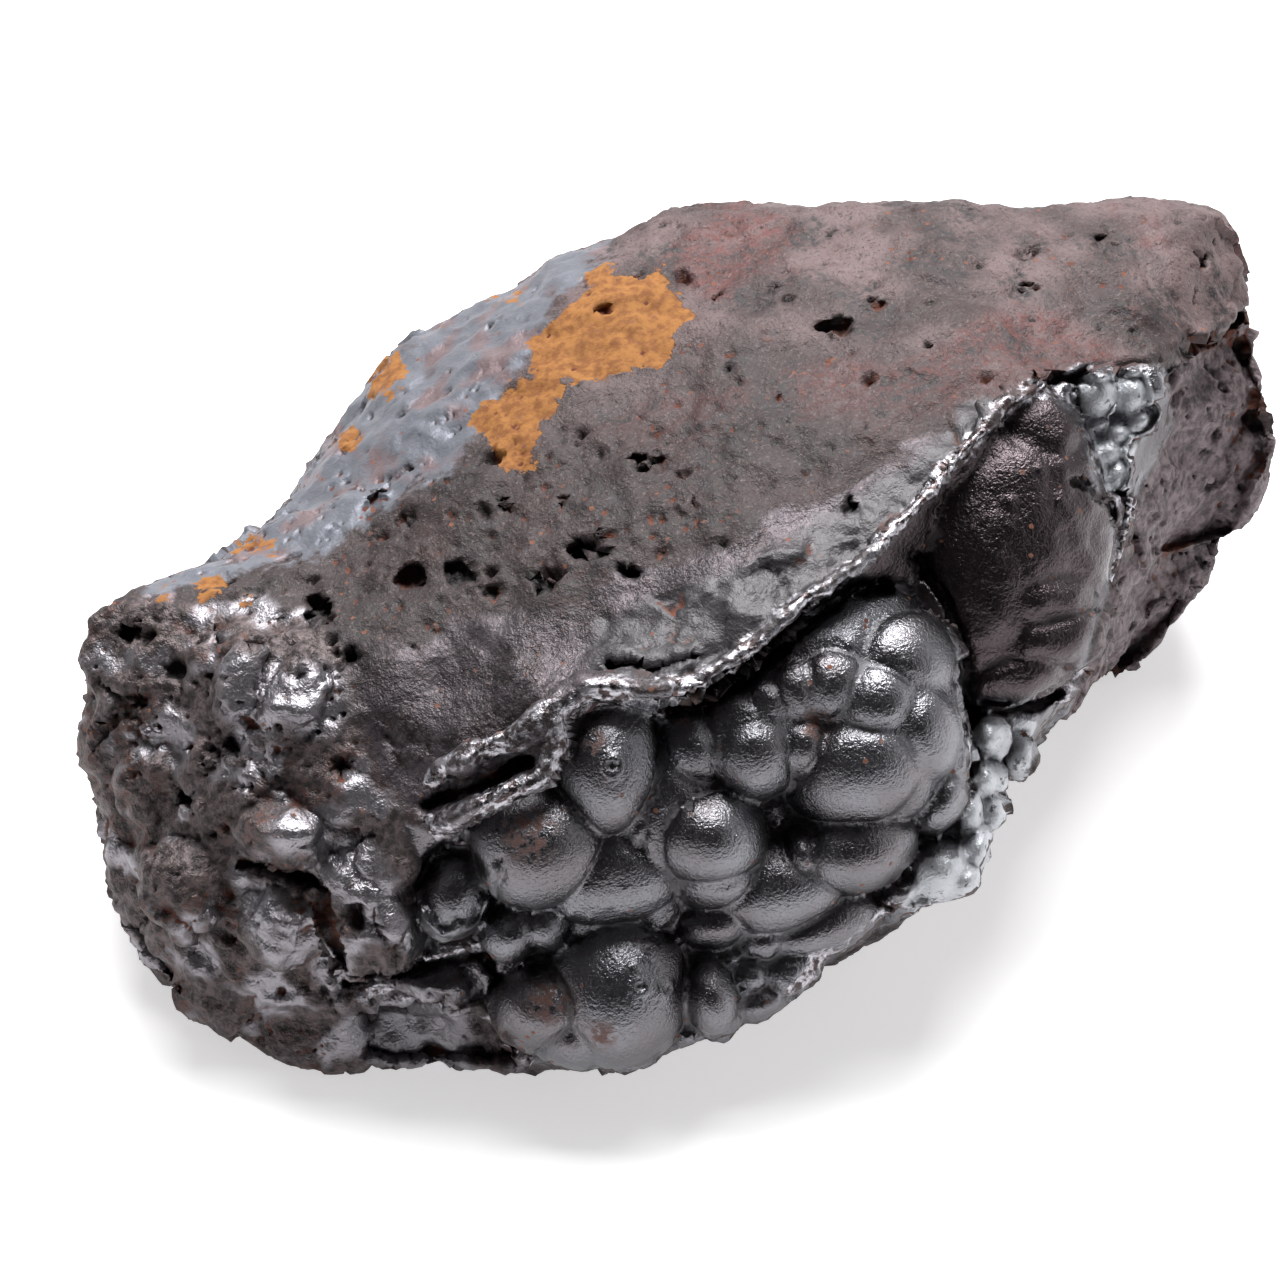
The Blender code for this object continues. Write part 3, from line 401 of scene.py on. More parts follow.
# Pits: seen centre and half sizes, turn in degrees, depth
PITS = [
    (590, 548, 24, 13, -10, 2.6), (630, 572, 13, 8, 0, 1.8), (410, 580, 14, 11, 0, 2),
    (460, 570, 11, 8, 0, 1.6), (320, 615, 11, 18, 5, 2.2), (131, 633, 18, 13, -15, 2.2),
    (835, 327, 20, 6, 12, 1.6), (1030, 285, 8, 5, 0, 1), (640, 465, 9, 7, 0, 1.2),
    (660, 465, 7, 6, 0, 1.2), (375, 500, 12, 6, -25, 1.4), (600, 312, 10, 7, 0, 0.8),
    (850, 505, 8, 6, 0, 1), (700, 505, 7, 5, 0, 1), (255, 650, 13, 7, 0, 1.6),
    (350, 660, 10, 9, 20, 1.6), (230, 750, 15, 11, -30, 1.8), (345, 765, 15, 10, 20, 1.8),
    (215, 635, 7, 5, 0, 1.2), (140, 700, 8, 14, 0, 1.4), (190, 800, 10, 14, 10, 1.5),
    (310, 600, 8, 6, 0, 1.2), (545, 590, 8, 6, 0, 1.2), (490, 590, 7, 6, 0, 1),
    (510, 510, 7, 5, 0, 1), (560, 500, 6, 5, 0, 0.9), (720, 300, 7, 4, 0, 0.8),
    (880, 300, 9, 6, 0, 0.9), (930, 350, 7, 5, 0, 0.8), (1100, 240, 8, 5, 0, 0.9),
    (1200, 260, 8, 6, 0, 1), (780, 400, 7, 5, 0, 0.8),
]
# Outline of the botryoidal face, seen
BOTRYOIDAL = [
    (1045, 385), (1000, 412), (950, 462), (900, 520), (860, 565), (800, 605), (740, 655),
    (690, 690), (640, 692), (585, 682), (556, 705), (550, 770), (470, 812), (430, 832),
    (400, 820), (420, 860), (412, 930), (410, 980), (440, 1000), (480, 1000), (530, 1062),
    (600, 1080), (680, 1065), (745, 1038), (790, 1013), (825, 965), (890, 922), (960, 908),
    (1000, 860), (1010, 795), (1040, 750), (1070, 713), (1090, 650), (1117, 560), (1132, 500),
    (1172, 432), (1168, 366), (1080, 364),
]
# Areas of the specimen, seen outlines
# The blue face: its blue-grey is partly its own colour and partly painted sheen
BLUE_FACE_AND_SHEEN = [
    (130, 612), (200, 590), (265, 572), (330, 548), (400, 500), (450, 470), (490, 420), (520, 380),
    (540, 340), (560, 300), (600, 262), (625, 225), (620, 190), (540, 200), (430, 270), (340, 350),
    (300, 440), (240, 500), (150, 560),
]
OCHRE_PATCH = [
    (599, 271), (667, 274), (690, 318), (667, 353), (631, 375), (587, 375), (570, 379), (552, 412),
    (535, 420), (535, 453), (523, 469), (499, 476), (482, 444), (473, 423), (496, 397), (505, 379),
    (529, 368), (532, 347), (546, 330), (576, 297),
]
# Ochre stains on the far edge: seen centre and half sizes
OCHRE_STAINS = [
    (478, 292, 34, 10), (388, 372, 24, 22), (348, 440, 12, 16), (205, 588, 30, 9),
    (250, 545, 24, 8), (430, 320, 14, 8),
]
VUG = [
    (1078, 376), (1148, 372), (1158, 410), (1138, 436), (1126, 490), (1108, 490), (1096, 446), (1082, 410),
]
# A pale broken edge: painted sheen, drawn with the pale crystals' colour
PAINTED_SHEEN_EDGE = [
    (905, 905), (925, 858), (958, 858), (962, 820), (978, 790), (968, 740), (985, 715), (1035, 722),
    (1030, 770), (1012, 800), (1005, 860), (960, 905), (915, 922),
]
LEFT_LUMPS = [
    (60, 640), (105, 600), (200, 606), (300, 600), (336, 640), (350, 720), (380, 790), (400, 800),
    (400, 820), (420, 860), (412, 930), (410, 980), (440, 1000), (480, 1000), (530, 1062), (520, 1090),
    (300, 1110), (120, 980), (60, 800),
]
# Smooth dark skin between the pores and the rim
SKIN = [
    (345, 640), (420, 650), (480, 610), (560, 610), (620, 575), (700, 560), (760, 530), (830, 500),
    (900, 450), (985, 392), (1005, 412), (950, 470), (862, 566), (740, 657), (690, 692), (585, 690),
    (550, 720), (540, 775), (430, 832), (400, 800), (370, 760),
]
RIM_CHIPS = [
    (585, 670), (600, 620), (690, 585), (760, 560), (830, 515), (880, 485), (930, 440),
    (985, 392), (1005, 412), (950, 470), (905, 522), (862, 566), (740, 657), (690, 692),
]
GRAINY_END = [
    (1158, 378), (1238, 320), (1300, 330), (1300, 520), (1210, 620), (1120, 720), (1050, 720),
    (1092, 660), (1120, 560), (1145, 480),
]
PORE_BAND = [
    (110, 610), (230, 560), (380, 470), (480, 440), (620, 420), (720, 430), (760, 500), (700, 580),
    (600, 620), (540, 660), (420, 700), (300, 760), (180, 800), (80, 760), (70, 640),
]
PANEL_AREA = [
    (985, 410), (1050, 392), (1078, 420), (1092, 486), (1120, 505), (1100, 600), (1070, 700),
    (985, 710), (960, 640), (925, 580), (868, 592), (862, 566), (905, 520), (950, 462),
]
# Droplets on the bulbs: seen place and half width
DROPLETS = [
    (626, 891, 0.35), (607, 905, 0.35), (590, 918, 0.30), (571, 913, 0.40), (599, 932, 0.40),
    (586, 934, 0.30), (643, 933, 0.40), (626, 944, 0.35), (636, 966, 0.45), (620, 974, 0.35),
    (655, 900, 0.30), (610, 950, 0.30), (660, 925, 0.30), (577, 945, 0.35), (700, 790, 0.35),
    (730, 806, 0.30), (720, 795, 0.25), (757, 690, 0.40), (849, 645, 0.40), (840, 660, 0.30),
    (1040, 470, 0.50), (1010, 500, 0.45), (1060, 500, 0.40),
]
# Ring craters on the bulbs: seen place and half width
RINGS = [
    (649, 951, 0.75), (640, 987, 0.70), (666, 989, 0.60), (689, 806, 0.85), (612, 766, 0.85),
]
# Rusty stains among the bulbs: seen place and reach
STAINS = [(817, 725, 22), (528, 834, 40), (548, 1000, 34), (602, 1035, 18), (596, 742, 16)]
# Painted highlights on the bright ridges of the left face: seen place and reach
PAINTED_HIGHLIGHT_SPOTS = [
    (258, 700, 48), (315, 700, 48), (290, 834, 30), (350, 870, 45), (262, 907, 32), (298, 931, 32),
    (332, 967, 28), (375, 900, 36), (420, 1030, 70),
]


# The sight's directions, the centre of its target plane, and the eye
RIGHT = Vector((1.0, 0.0, 0.0))
UP = Vector((0.0, math.sin(SIGHT_TILT), math.cos(SIGHT_TILT)))
TOWARDS = Vector((0.0, -math.cos(SIGHT_TILT), math.sin(SIGHT_TILT)))
CENTRE = Vector((0.0, -SIGHT_HEIGHT, SIGHT_HEIGHT))
EYE = CENTRE + TOWARDS * SIGHT_DISTANCE
SIGHT_AXES = Matrix((RIGHT, UP, TOWARDS)).transposed()


def sight_line(px, py):
    """Step from the eye to a seen point on the target plane."""
    across = (px - FIELD_CENTRE) / POINTS_PER_MM
    above = (FIELD_CENTRE - py) / POINTS_PER_MM
    return CENTRE + RIGHT * across + UP * above - EYE


def at_height(px, py, height):
    """Seen point at a height over the table."""
    line = sight_line(px, py)
    return EYE + line * ((height - EYE.z) / line.z)


def at_nearness(px, py, near):
    """Seen point at a nearness to the eye, from the target plane."""
    return EYE + sight_line(px, py) * ((SIGHT_DISTANCE - near) / SIGHT_DISTANCE)


def landmarks():
    """Every listed point on the rock body."""
    points = [at_height(*row) for row in SKYLINE + FRONT_EDGE + TOP_FACE + VUG_ROOF]
    points += [at_height(*row) for row in RIGHT_END + LEFT_FACE + RIM]
    points += [at_nearness(*row) for row in HOLLOW + PANEL]
    points += [Vector(row) for row in BACK]
    points += [Vector((x, y, BELOW_TABLE)) for x, y in UNDERSIDE]
    points.append(Vector((HEART.x, HEART.y, BELOW_TABLE)))
    return points


def rock_body():
    """Rock body: landmarks joined as seen from the heart, then moved out."""
    body = bmesh.new()
    corners = {}
    for place in landmarks():
        corners[body.verts.new((place - HEART).normalized())] = place
    bmesh.ops.convex_hull(body, input=body.verts[:])
    for corner, place in corners.items():
        corner.co = place
    bmesh.ops.recalc_face_normals(body, faces=body.faces[:])
    for _ in range(BODY_SUBDIVISIONS):
        bmesh.ops.subdivide_edges(body, edges=body.edges[:], cuts=1, use_grid_fill=True)
    for _ in range(BODY_SMOOTHINGS):
        bmesh.ops.smooth_vert(body, verts=body.verts[:], factor=0.5,
                              use_axis_x=True, use_axis_y=True, use_axis_z=True)
    return body


def bulb_axes(turn=0.0, lean=0.0):
    """The sight's axes, turned in the field and leaning right."""
    spin = Matrix.Rotation(math.radians(lean), 3, "Y") @ Matrix.Rotation(math.radians(turn), 3, "Z")
    return SIGHT_AXES @ spin


def bulb(mesh, px, py, near, half_width, half_height, bulge, *turns):
    """One kidney bulb: an ellipsoid set to the sight."""
    place = (bulb_axes(*turns) @ Matrix.Diagonal((half_width, half_height, bulge))).to_4x4()
    place.translation = at_nearness(px, py, near)
    bmesh.ops.create_icosphere(mesh, subdivisions=BULB_SUBDIVISIONS, radius=1.0, matrix=place)


def add(name, data):
    """A new object in the scene."""
    thing = bpy.data.objects.new(name, data)
    bpy.context.scene.collection.objects.link(thing)
    return thing


def evaluated_mesh(thing):
    """The mesh that a thing's modifiers or curve make."""
    bpy.context.view_layer.update()
    return bpy.data.meshes.new_from_object(thing.evaluated_get(bpy.context.evaluated_depsgraph_get()))


def ledge(mesh, rows):
    """A lip along a broken edge: a tube through seen points."""
    curve = bpy.data.curves.new("ledge", "CURVE")
    curve.dimensions = "3D"
    curve.bevel_depth = 1.0
    curve.bevel_resolution = 2
    curve.use_fill_caps = True
    spline = curve.splines.new("POLY")
    spline.points.add(len(rows) - 1)
    for point, (px, py, near, thickness) in zip(spline.points, rows):
        point.co = (*at_nearness(px, py, near), 1.0)
        point.radius = thickness
    holder = add("ledge", curve)
    tube = evaluated_mesh(holder)
    mesh.from_mesh(tube)
    bpy.data.objects.remove(holder)
    bpy.data.curves.remove(curve)
    bpy.data.meshes.remove(tube)


def whole_shape():
    """Rock body, bulbs and ledges as overlapping closed shells."""
    mesh = rock_body()
    for row in BULBS:
        bulb(mesh, *row)
    for rows in LEDGES:
        ledge(mesh, rows)
    bmesh.ops.remove_doubles(mesh, verts=mesh.verts[:], dist=WELD)
    return mesh


def with_modifier(thing, kind, **settings):
    """A thing's mesh replaced by what one modifier makes of it."""
    modifier = thing.modifiers.new(kind, kind)
    for key, value in settings.items():
        setattr(modifier, key, value)
    made = evaluated_mesh(thing)
    old = thing.data
    thing.modifiers.remove(modifier)
    thing.data = made
    bpy.data.meshes.remove(old)


def coordinates(thing):
    """Vertex places of a thing as rows of X, Y, Z."""
    flat = np.empty(len(thing.data.vertices) * 3)
    thing.data.vertices.foreach_get("co", flat)
    return flat.reshape(-1, 3)


def normals(thing):
    """Vertex normals of a thing as rows of X, Y, Z."""
    flat = np.empty(len(thing.data.vertices) * 3)
    thing.data.vertex_normals.foreach_get("vector", flat)
    return flat.reshape(-1, 3)


def place_vertices(thing, rows):
    """Vertices of a thing moved to new places."""
    thing.data.vertices.foreach_set("co", rows.ravel())
    thing.data.update()


def step(low, high, value):
    """Smooth rise from 0 at low to 1 at high."""
    rise = np.clip((value - low) / (high - low), 0.0, 1.0)
    return rise * rise * (3.0 - 2.0 * rise)


def seen(rows):
    """Seen place of every vertex."""
    away = rows - np.array(EYE)
    depth = -away @ np.array(TOWARDS)
    scale = POINTS_PER_MM * SIGHT_DISTANCE / depth
    px = FIELD_CENTRE + (away @ np.array(RIGHT)) * scale
    py = FIELD_CENTRE - (away @ np.array(UP)) * scale
    return px, py


def facing(rows, outward):
    """How squarely each vertex faces the eye, from -1 to 1."""
    to_eye = np.array(EYE) - rows
    to_eye /= np.linalg.norm(to_eye, axis=1)[:, None]
    return np.sum(outward * to_eye, axis=1)


def shown(rows, outward):
    """How fully each vertex is on the seen side, from 0 to 1."""
    return step(*SHOWN, facing(rows, outward))


def path_distance(px, py, path):
    """Distance from each seen vertex to a seen path."""
    best = np.full(len(px), FAR)
    for (ax, ay), (bx, by) in zip(path[:-1], path[1:]):
        length = (bx - ax) ** 2 + (by - ay) ** 2
        along = np.clip(((px - ax) * (bx - ax) + (py - ay) * (by - ay)) / length, 0.0, 1.0)
        gap = np.hypot(px - ax - along * (bx - ax), py - ay - along * (by - ay))
        best = np.minimum(best, gap)
    return best / POINTS_PER_MM


def depth_inside(px, py, outline):
    """Distance inside a seen outline, negative outside it."""
    ring = outline + outline[:1]
    gap = path_distance(px, py, ring)
    within = np.zeros(len(px), dtype=bool)
    for (ax, ay), (bx, by) in zip(ring[:-1], ring[1:]):
        if ay == by:
            continue
        crosses = (ay > py) != (by > py)
        within ^= crosses & (px < ax + (py - ay) * (bx - ax) / (by - ay))
    return np.where(within, gap, -gap)


def wobbled(px, py, rows, points, length, octaves, shifts):
    """Seen places shifted to and fro, so that edges aren't ruled lines."""
    right, down = (points * noise_rows(rows + shift, length, octaves) for shift in shifts)
    return px + right, py + down


def pit_depth(px, py, pit):
    """Depth of one steep-walled pit at each seen vertex."""
    centre_x, centre_y, half_width, half_height, turn, deep = pit
    turned = math.radians(turn)
    right = px - centre_x
    down = py - centre_y
    across = (right * math.cos(turned) + down * math.sin(turned)) / half_width
    along = (down * math.cos(turned) - right * math.sin(turned)) / half_height
    return deep * (1.0 - step(PIT_FLOOR, 1.0, np.hypot(across, along)))


def carve_seen(thing):
    """Grooves, slits, broken faces and pits, pushed away from the eye."""
    rows = coordinates(thing)
    towards_eye = step(FACING_NONE, FACING_FULL, facing(rows, normals(thing)))
    px, py = wobbled(*seen(rows), rows, *WOBBLE)
    pit_px, pit_py = wobbled(px, py, rows, *RAGGED)
    depth = np.zeros(len(rows))
    for path, width, deep in GROOVES:
        groove = deep * (1.0 - step(GROOVE_FLOOR * width, width, path_distance(px, py, path)))
        depth = np.maximum(depth, groove)
    for outline, slope, deep in BREAKS:
        depth = np.maximum(depth, deep * step(0.0, slope, depth_inside(px, py, outline)))
    for pit in PITS:
        depth = np.maximum(depth, pit_depth(pit_px, pit_py, pit))
    place_vertices(thing, rows - np.array(TOWARDS) * (depth * towards_eye)[:, None])


def noise_rows(rows, length, octaves):
    """Layered noise of a given wavelength at each vertex, about -1 to 1."""
    scaled = rows / length
    return np.array([noise.fractal(Vector(row), *LAYERING, octaves) for row in scaled])


def wandered(rows, far, length):
    """Places shifted to and fro, so that cells don't have straight sides."""
    return rows + far * np.stack([noise_rows(rows + shift, length, 2) for shift in APART], axis=1)


def chip_rows(rows, size):
    """Flat chips: each cell of the rock is broken at its own slant."""
    lift = np.empty(len(rows))
    for index, row in enumerate(rows):
        spot = Vector(row) / size
        centre = noise.voronoi(spot)[1][0]
        slant = Vector(noise.noise(centre * CELL_SPREAD + shift) for shift in CHIP_SHIFTS)
        lift[index] = (spot - centre).dot(slant) * CHIP_SLANT + slant.x * CHIP_RISE
    return lift


def roughen(thing):
    """Chipped and swollen rock around the bulbs, and only a faint swell on them."""
    rows = coordinates(thing)
    outward = normals(thing)
    smooth = step(*BULB_EDGE, depth_inside(*seen(rows), BOTRYOIDAL)) * shown(rows, outward)
    rough = 1.0 - smooth
    upper = step(*WORN_SLOPES, outward[:, 2]) * rough
    swell = noise_rows(rows, SWELL_LENGTH, 3)
    broken = noise_rows(rows + APART[2], BROKEN_LENGTH, 2)
    bent = wandered(rows, CHIP_WANDER, BROKEN_LENGTH)
    chips = sum(height * chip_rows(bent, size) for height, size in CHIPS)
    lift = (rough - upper) * (BROKEN * broken + chips) + rough * SWELL * swell
    place_vertices(thing, rows + outward * (lift + smooth * BULB_SWELL * swell)[:, None])


def keep_largest(thing):
    """Loose crumbs left by joining or cutting are cleared away."""
    mesh = bmesh.new()
    mesh.from_mesh(thing.data)
    mesh.verts.ensure_lookup_table()
    left = set(mesh.verts)
    pieces = []
    while left:
        piece = [left.pop()]
        for vert in piece:
            fresh = [edge.other_vert(vert) for edge in vert.link_edges]
            fresh = [other for other in fresh if other in left]
            left.difference_update(fresh)
            piece.extend(fresh)
        pieces.append(piece)
    pieces.sort(key=len)
    for piece in pieces[:-1]:
        bmesh.ops.delete(mesh, geom=piece, context="VERTS")
    mesh.to_mesh(thing.data)
    mesh.free()


def simplify(rock):
    """Fewer triangles, most of them kept on the seen side."""
    rows = coordinates(rock)
    visible = step(-FACING_NONE, FACING_FULL, facing(rows, normals(rock)))
    group = rock.vertex_groups.new(name="hidden")
    for index, share in enumerate(visible):
        group.add([index], float(1.0 - (1.0 - SEEN_WEIGHT) * share), "REPLACE")
    with_modifier(rock, "DECIMATE", ratio=TRIANGLES / (2 * len(rock.data.polygons)),
                  vertex_group=group.name, vertex_group_factor=SEEN_CARE)
    rock.vertex_groups.clear()


def rest_flat(thing):
    """Cut level at the table, and closed with one flat foot."""
    mesh = bmesh.new()
    mesh.from_mesh(thing.data)
    bmesh.ops.bisect_plane(mesh, geom=mesh.verts[:] + mesh.edges[:] + mesh.faces[:],
                           plane_co=(0, 0, 0), plane_no=(0, 0, 1), clear_inner=True)
    edges = [edge for edge in mesh.edges if edge.is_boundary]
    bmesh.ops.holes_fill(mesh, edges=edges, sides=0)
    bmesh.ops.triangulate(mesh, faces=[face for face in mesh.faces if len(face.verts) > 3])
    mesh.to_mesh(thing.data)
    mesh.free()


def neighbour_means(thing, values, rounds):
    """Values after some rounds of drawing each to its neighbours'."""
    ends = np.empty(len(thing.data.edges) * 2, dtype=np.int64)
    thing.data.edges.foreach_get("vertices", ends)
    first, second = ends.reshape(-1, 2).T
    count = np.bincount(ends, minlength=len(values))
    for _ in range(rounds):
        columns = []
        for column in values.T:
            total = np.bincount(first, column[second], len(values))
            total += np.bincount(second, column[first], len(values))
            columns.append(0.5 * column + 0.5 * total / count)
        values = np.stack(columns, axis=1)
    return values


def layered(rows, layers):
    """Relief from layers of noise."""
    return sum(height * noise_rows(rows + shift, length, octaves)
               for height, length, octaves, shift in layers)


def ridged(rows, layers):
    """Relief with sharp crests from layers of noise."""
    return sum(height * (1.0 - 2.0 * np.abs(noise_rows(rows + shift, length, octaves)))
               for height, length, octaves, shift in layers)


def pore_rows(rows, size, share, deep):
    """Depth of small angular pores, each of its own width, in a share of the cells."""
    depth = np.zeros(len(rows))
    least, spread = PORE_RADIUS
    for index, row in enumerate(rows):
        gaps, centres = noise.voronoi(Vector(row) / size, distance_metric="MANHATTAN")
        spot = centres[0] * CELL_SPREAD
        if noise.noise(spot) > 1.0 - 2.0 * share[index]:
            radius = least + spread * abs(noise.noise(spot + CHIP_SHIFTS[1]))
            depth[index] = deep * min(1.0, max(0.0, PORE_STEEPNESS * (1.0 - gaps[0] / radius)))
    return depth


def line_distance(rows, path):
    """Distance from each vertex to a path of straight runs."""
    best = np.full(len(rows), FAR)
    for start, end in zip(path[:-1], path[1:]):
        run = np.array(end - start)
        along = np.clip(((rows - np.array(start)) @ run) / (run @ run), 0.0, 1.0)
        best = np.minimum(best, np.linalg.norm(rows - np.array(start) - along[:, None] * run, axis=1))
    return best


def areas(rows, outward):
    """The distance inside every named area at each vertex."""
    visible = shown(rows, outward)
    px, py = seen(rows)
    outlines = {
        "bulbs": BOTRYOIDAL, "blue_face": BLUE_FACE_AND_SHEEN, "ochre": OCHRE_PATCH, "vug": VUG,
        "left_lumps": LEFT_LUMPS, "rim_chips": RIM_CHIPS, "grainy_end": GRAINY_END,
        "pore_band": PORE_BAND, "panel": PANEL_AREA, "skin": SKIN, "painted_sheen_edge": PAINTED_SHEEN_EDGE,
    }

    def held(inside):
        """Outside where hidden."""
        return visible * (np.clip(inside, -AREA_REACH, AREA_REACH) + AREA_REACH) - AREA_REACH

    found = {name: held(depth_inside(px, py, outline)) for name, outline in outlines.items()}
    # The pale edge's painted sheen joins the crystals' area
    found["vug"] = np.maximum(found["vug"], found.pop("painted_sheen_edge"))
    for centre_x, centre_y, half_width, half_height in OCHRE_STAINS:
        away = np.hypot((px - centre_x) / half_width, (py - centre_y) / half_height)
        found["ochre"] = np.maximum(found["ochre"], held((1.0 - away) * half_height / POINTS_PER_MM))
    found["crust"] = np.full(len(rows), -AREA_REACH)
    for ledge_rows in LEDGES:
        path = [at_nearness(*row[:3]) for row in ledge_rows]
        reach = ledge_rows[0][3] + CRUST_REACH
        found["crust"] = np.maximum(found["crust"], reach - line_distance(rows, path))
    return found


def bulb_gaps(rows):
    """Signed distance from each vertex to its nearest bulb and to the second nearest."""
    nearest = np.full(len(rows), FAR)
    second = nearest.copy()
    for px, py, near, half_width, half_height, bulge, *turns in BULBS:
        size = np.array((half_width, half_height, bulge))
        unit = (rows - np.array(at_nearness(px, py, near))) @ np.array(bulb_axes(*turns)) / size
        length = np.linalg.norm(unit, axis=1)
        slope = np.linalg.norm(unit / size, axis=1)
        gap = (length - 1.0) * length / np.maximum(slope, 1.0 / FAR)
        second = np.minimum(second, np.maximum(nearest, gap))
        nearest = np.minimum(nearest, gap)
    return nearest, second


def sharpen_bulbs(rock):
    """Skin near a bulb is drawn onto it: creases get sharp and domes smooth."""
    for _ in range(SNAP_ROUNDS):
        rows = coordinates(rock)
        outward = normals(rock)
        gap, _ = bulb_gaps(rows)
        inside = step(*SNAP_EDGE, areas(rows, outward)["bulbs"])
        drawn = inside * gap * (1.0 - step(*SNAP_REACH, np.abs(gap)))
        place_vertices(rock, rows - outward * drawn[:, None])


def droplet_rows(rows, outward):
    """Small droplets and ring craters on the bulbs."""
    px, py = seen(rows)
    lift = np.zeros(len(rows))
    for centre_x, centre_y, half in DROPLETS:
        away = np.hypot(px - centre_x, py - centre_y) / POINTS_PER_MM / half
        lift += DROPLET_HEIGHT * half * np.sqrt(np.clip(1.0 - away ** 2, 0.0, 1.0))
    for centre_x, centre_y, half in RINGS:
        away = np.hypot(px - centre_x, py - centre_y) / POINTS_PER_MM / half
        lift += RING_HEIGHT * half * np.exp(-((away - RING_PLACE) / RING_WIDTH) ** 2)
        lift -= CRATER_DEPTH * half * np.exp(-(away / CRATER_WIDTH) ** 2)
    return lift * shown(rows, outward)


def pore_depth(rows, share, rough):
    """Depth of the pores of every size, where a share of the cells hold one."""
    bent = wandered(rows, *PORE_WANDER)
    depth = np.zeros(len(rows))
    for size, deep, shift, of_share, of_rough in PORES:
        pores = pore_rows(bent + shift, size, of_share * share + of_rough * rough, deep)
        depth = np.maximum(depth, pores)
    return depth


def crease_share(rows, vug):
    """How fully each vertex lies in a crease between two bulbs."""
    nearest, second = bulb_gaps(rows)
    between = 1.0 - step(*CREASE_WIDTH, np.abs(second))
    return between * (1.0 - step(*CREASE_SKIN, np.abs(nearest))) * (1.0 - vug)


def bulb_lift(rows, outward, panel):
    """Pimples, waves and droplets on the bulbs, and the wavier panel."""
    px, py = seen(rows)
    from_spot = np.hypot(px - PIMPLED_SPOT[0], py - PIMPLED_SPOT[1])
    pimples = PIMPLES + MORE_PIMPLES * step(*PIMPLED_FADE, from_spot)
    lift = pimples * noise_rows(rows, PIMPLE_LENGTH, 2)
    lift += layered(rows, BULB_RELIEF) + panel * layered(rows, PANEL_RELIEF)
    return lift + droplet_rows(rows, outward)


def fine_relief(rock):
    """Pores, lumps and grain, area by area."""
    rows = coordinates(rock)
    outward = normals(rock)
    found = areas(rows, outward)
    full = SimpleNamespace(**{name: step(*edge, found[name]) for name, edge in RELIEF_EDGES.items()})
    crust = full.crust
    bulbs = full.bulbs * (1.0 - crust)
    lumps = full.left_lumps * (1.0 - bulbs)
    skin = full.skin * (1.0 - bulbs)
    chips = full.rim_chips * (1.0 - bulbs) * (1.0 - crust)
    rough = (1.0 - bulbs) * (1.0 - chips)
    worn = step(*WORN_GRAIN_SLOPES, outward[:, 2]) * rough * (1.0 - lumps)
    lift = lumps * (ridged(rows, LUMP_RIDGES) + layered(rows, LUMP_RELIEF))
    lift += worn * (1.0 - SKIN_EVENS * skin) * layered(rows, WORN_RELIEF)
    lift += (rough - worn) * (1.0 - lumps) * layered(rows, BROKEN_RELIEF)
    lift += chips * sum(height * chip_rows(rows + shift, size) for height, size, shift in RIM_CHIP_SIZES)
    lift += crust * layered(rows, CRUST_RELIEF)
    lift += bulbs * bulb_lift(rows, outward, full.panel)
    share = PORE_SHARE + BAND_PORES * full.pore_band + END_PORES * full.grainy_end
    share *= rough * (1.0 - crust) * (1.0 - SKIN_CLOSES * skin)
    depth = pore_depth(rows, share, rough)
    depth += CREASE_DEPTH * bulbs * crease_share(rows, full.vug)
    place_vertices(rock, rows + outward * (lift - depth)[:, None])


def near_spots(px, py, spots, fade):
    """How near each vertex is seen to any of some spots, from 0 to 1."""
    nearness = np.zeros(len(px))
    for spot_x, spot_y, reach in spots:
        away = np.hypot(px - spot_x, py - spot_y) / reach
        nearness = np.maximum(nearness, 1.0 - step(*fade, away))
    return nearness


def keep_looks(rock):
    """Areas, hollows and patches kept on the mesh for the material."""
    rows = coordinates(rock)
    outward = normals(rock)
    px, py = seen(rows)
    found = areas(rows, outward)
    ragged = noise_rows(rows + APART[1], *WANDER_NOISE)
    kept = {name: found[name] + amount * ragged for name, amount in EDGE_WANDER.items()}
    for name, (rounds, reach) in HOLLOWS.items():
        level = neighbour_means(rock, rows, rounds)
        kept[name] = np.sum((level - rows) * outward, axis=1) / reach
    for name, (shift, length, octaves, squash, rise) in PATCHES.items():
        places = rows * np.array((1.0, 1.0, squash)) + shift
        kept[name] = step(*rise, noise_rows(places, length, octaves))
    # Painted highlights: the lumps are made shiny, and so pale, on the left face's bright ridges
    kept["shiny"] = np.maximum(kept["shiny"], near_spots(px, py, PAINTED_HIGHLIGHT_SPOTS, GLINT_FADE))
    kept["stain"] = near_spots(px, py, STAINS, STAIN_FADE)
    visible = shown(rows, outward)
    # Painted shade: the upper face darkens towards the rim
    kept["dusk"] = step(*RIMWARD_SHADE_ROWS, py) * visible
    kept["unseen"] = 1.0 - visible
    for name, values in kept.items():
        layer = rock.data.attributes.new(name, "FLOAT", "POINT")
        layer.data.foreach_set("value", values.astype(np.float32))


def colour(name):
    """A colour of the palette as the shader takes it."""
    linear = [((value / 255.0 + 0.055) / 1.055) ** 2.4 for value in PALETTE[name]]
    return (*linear, 1.0)


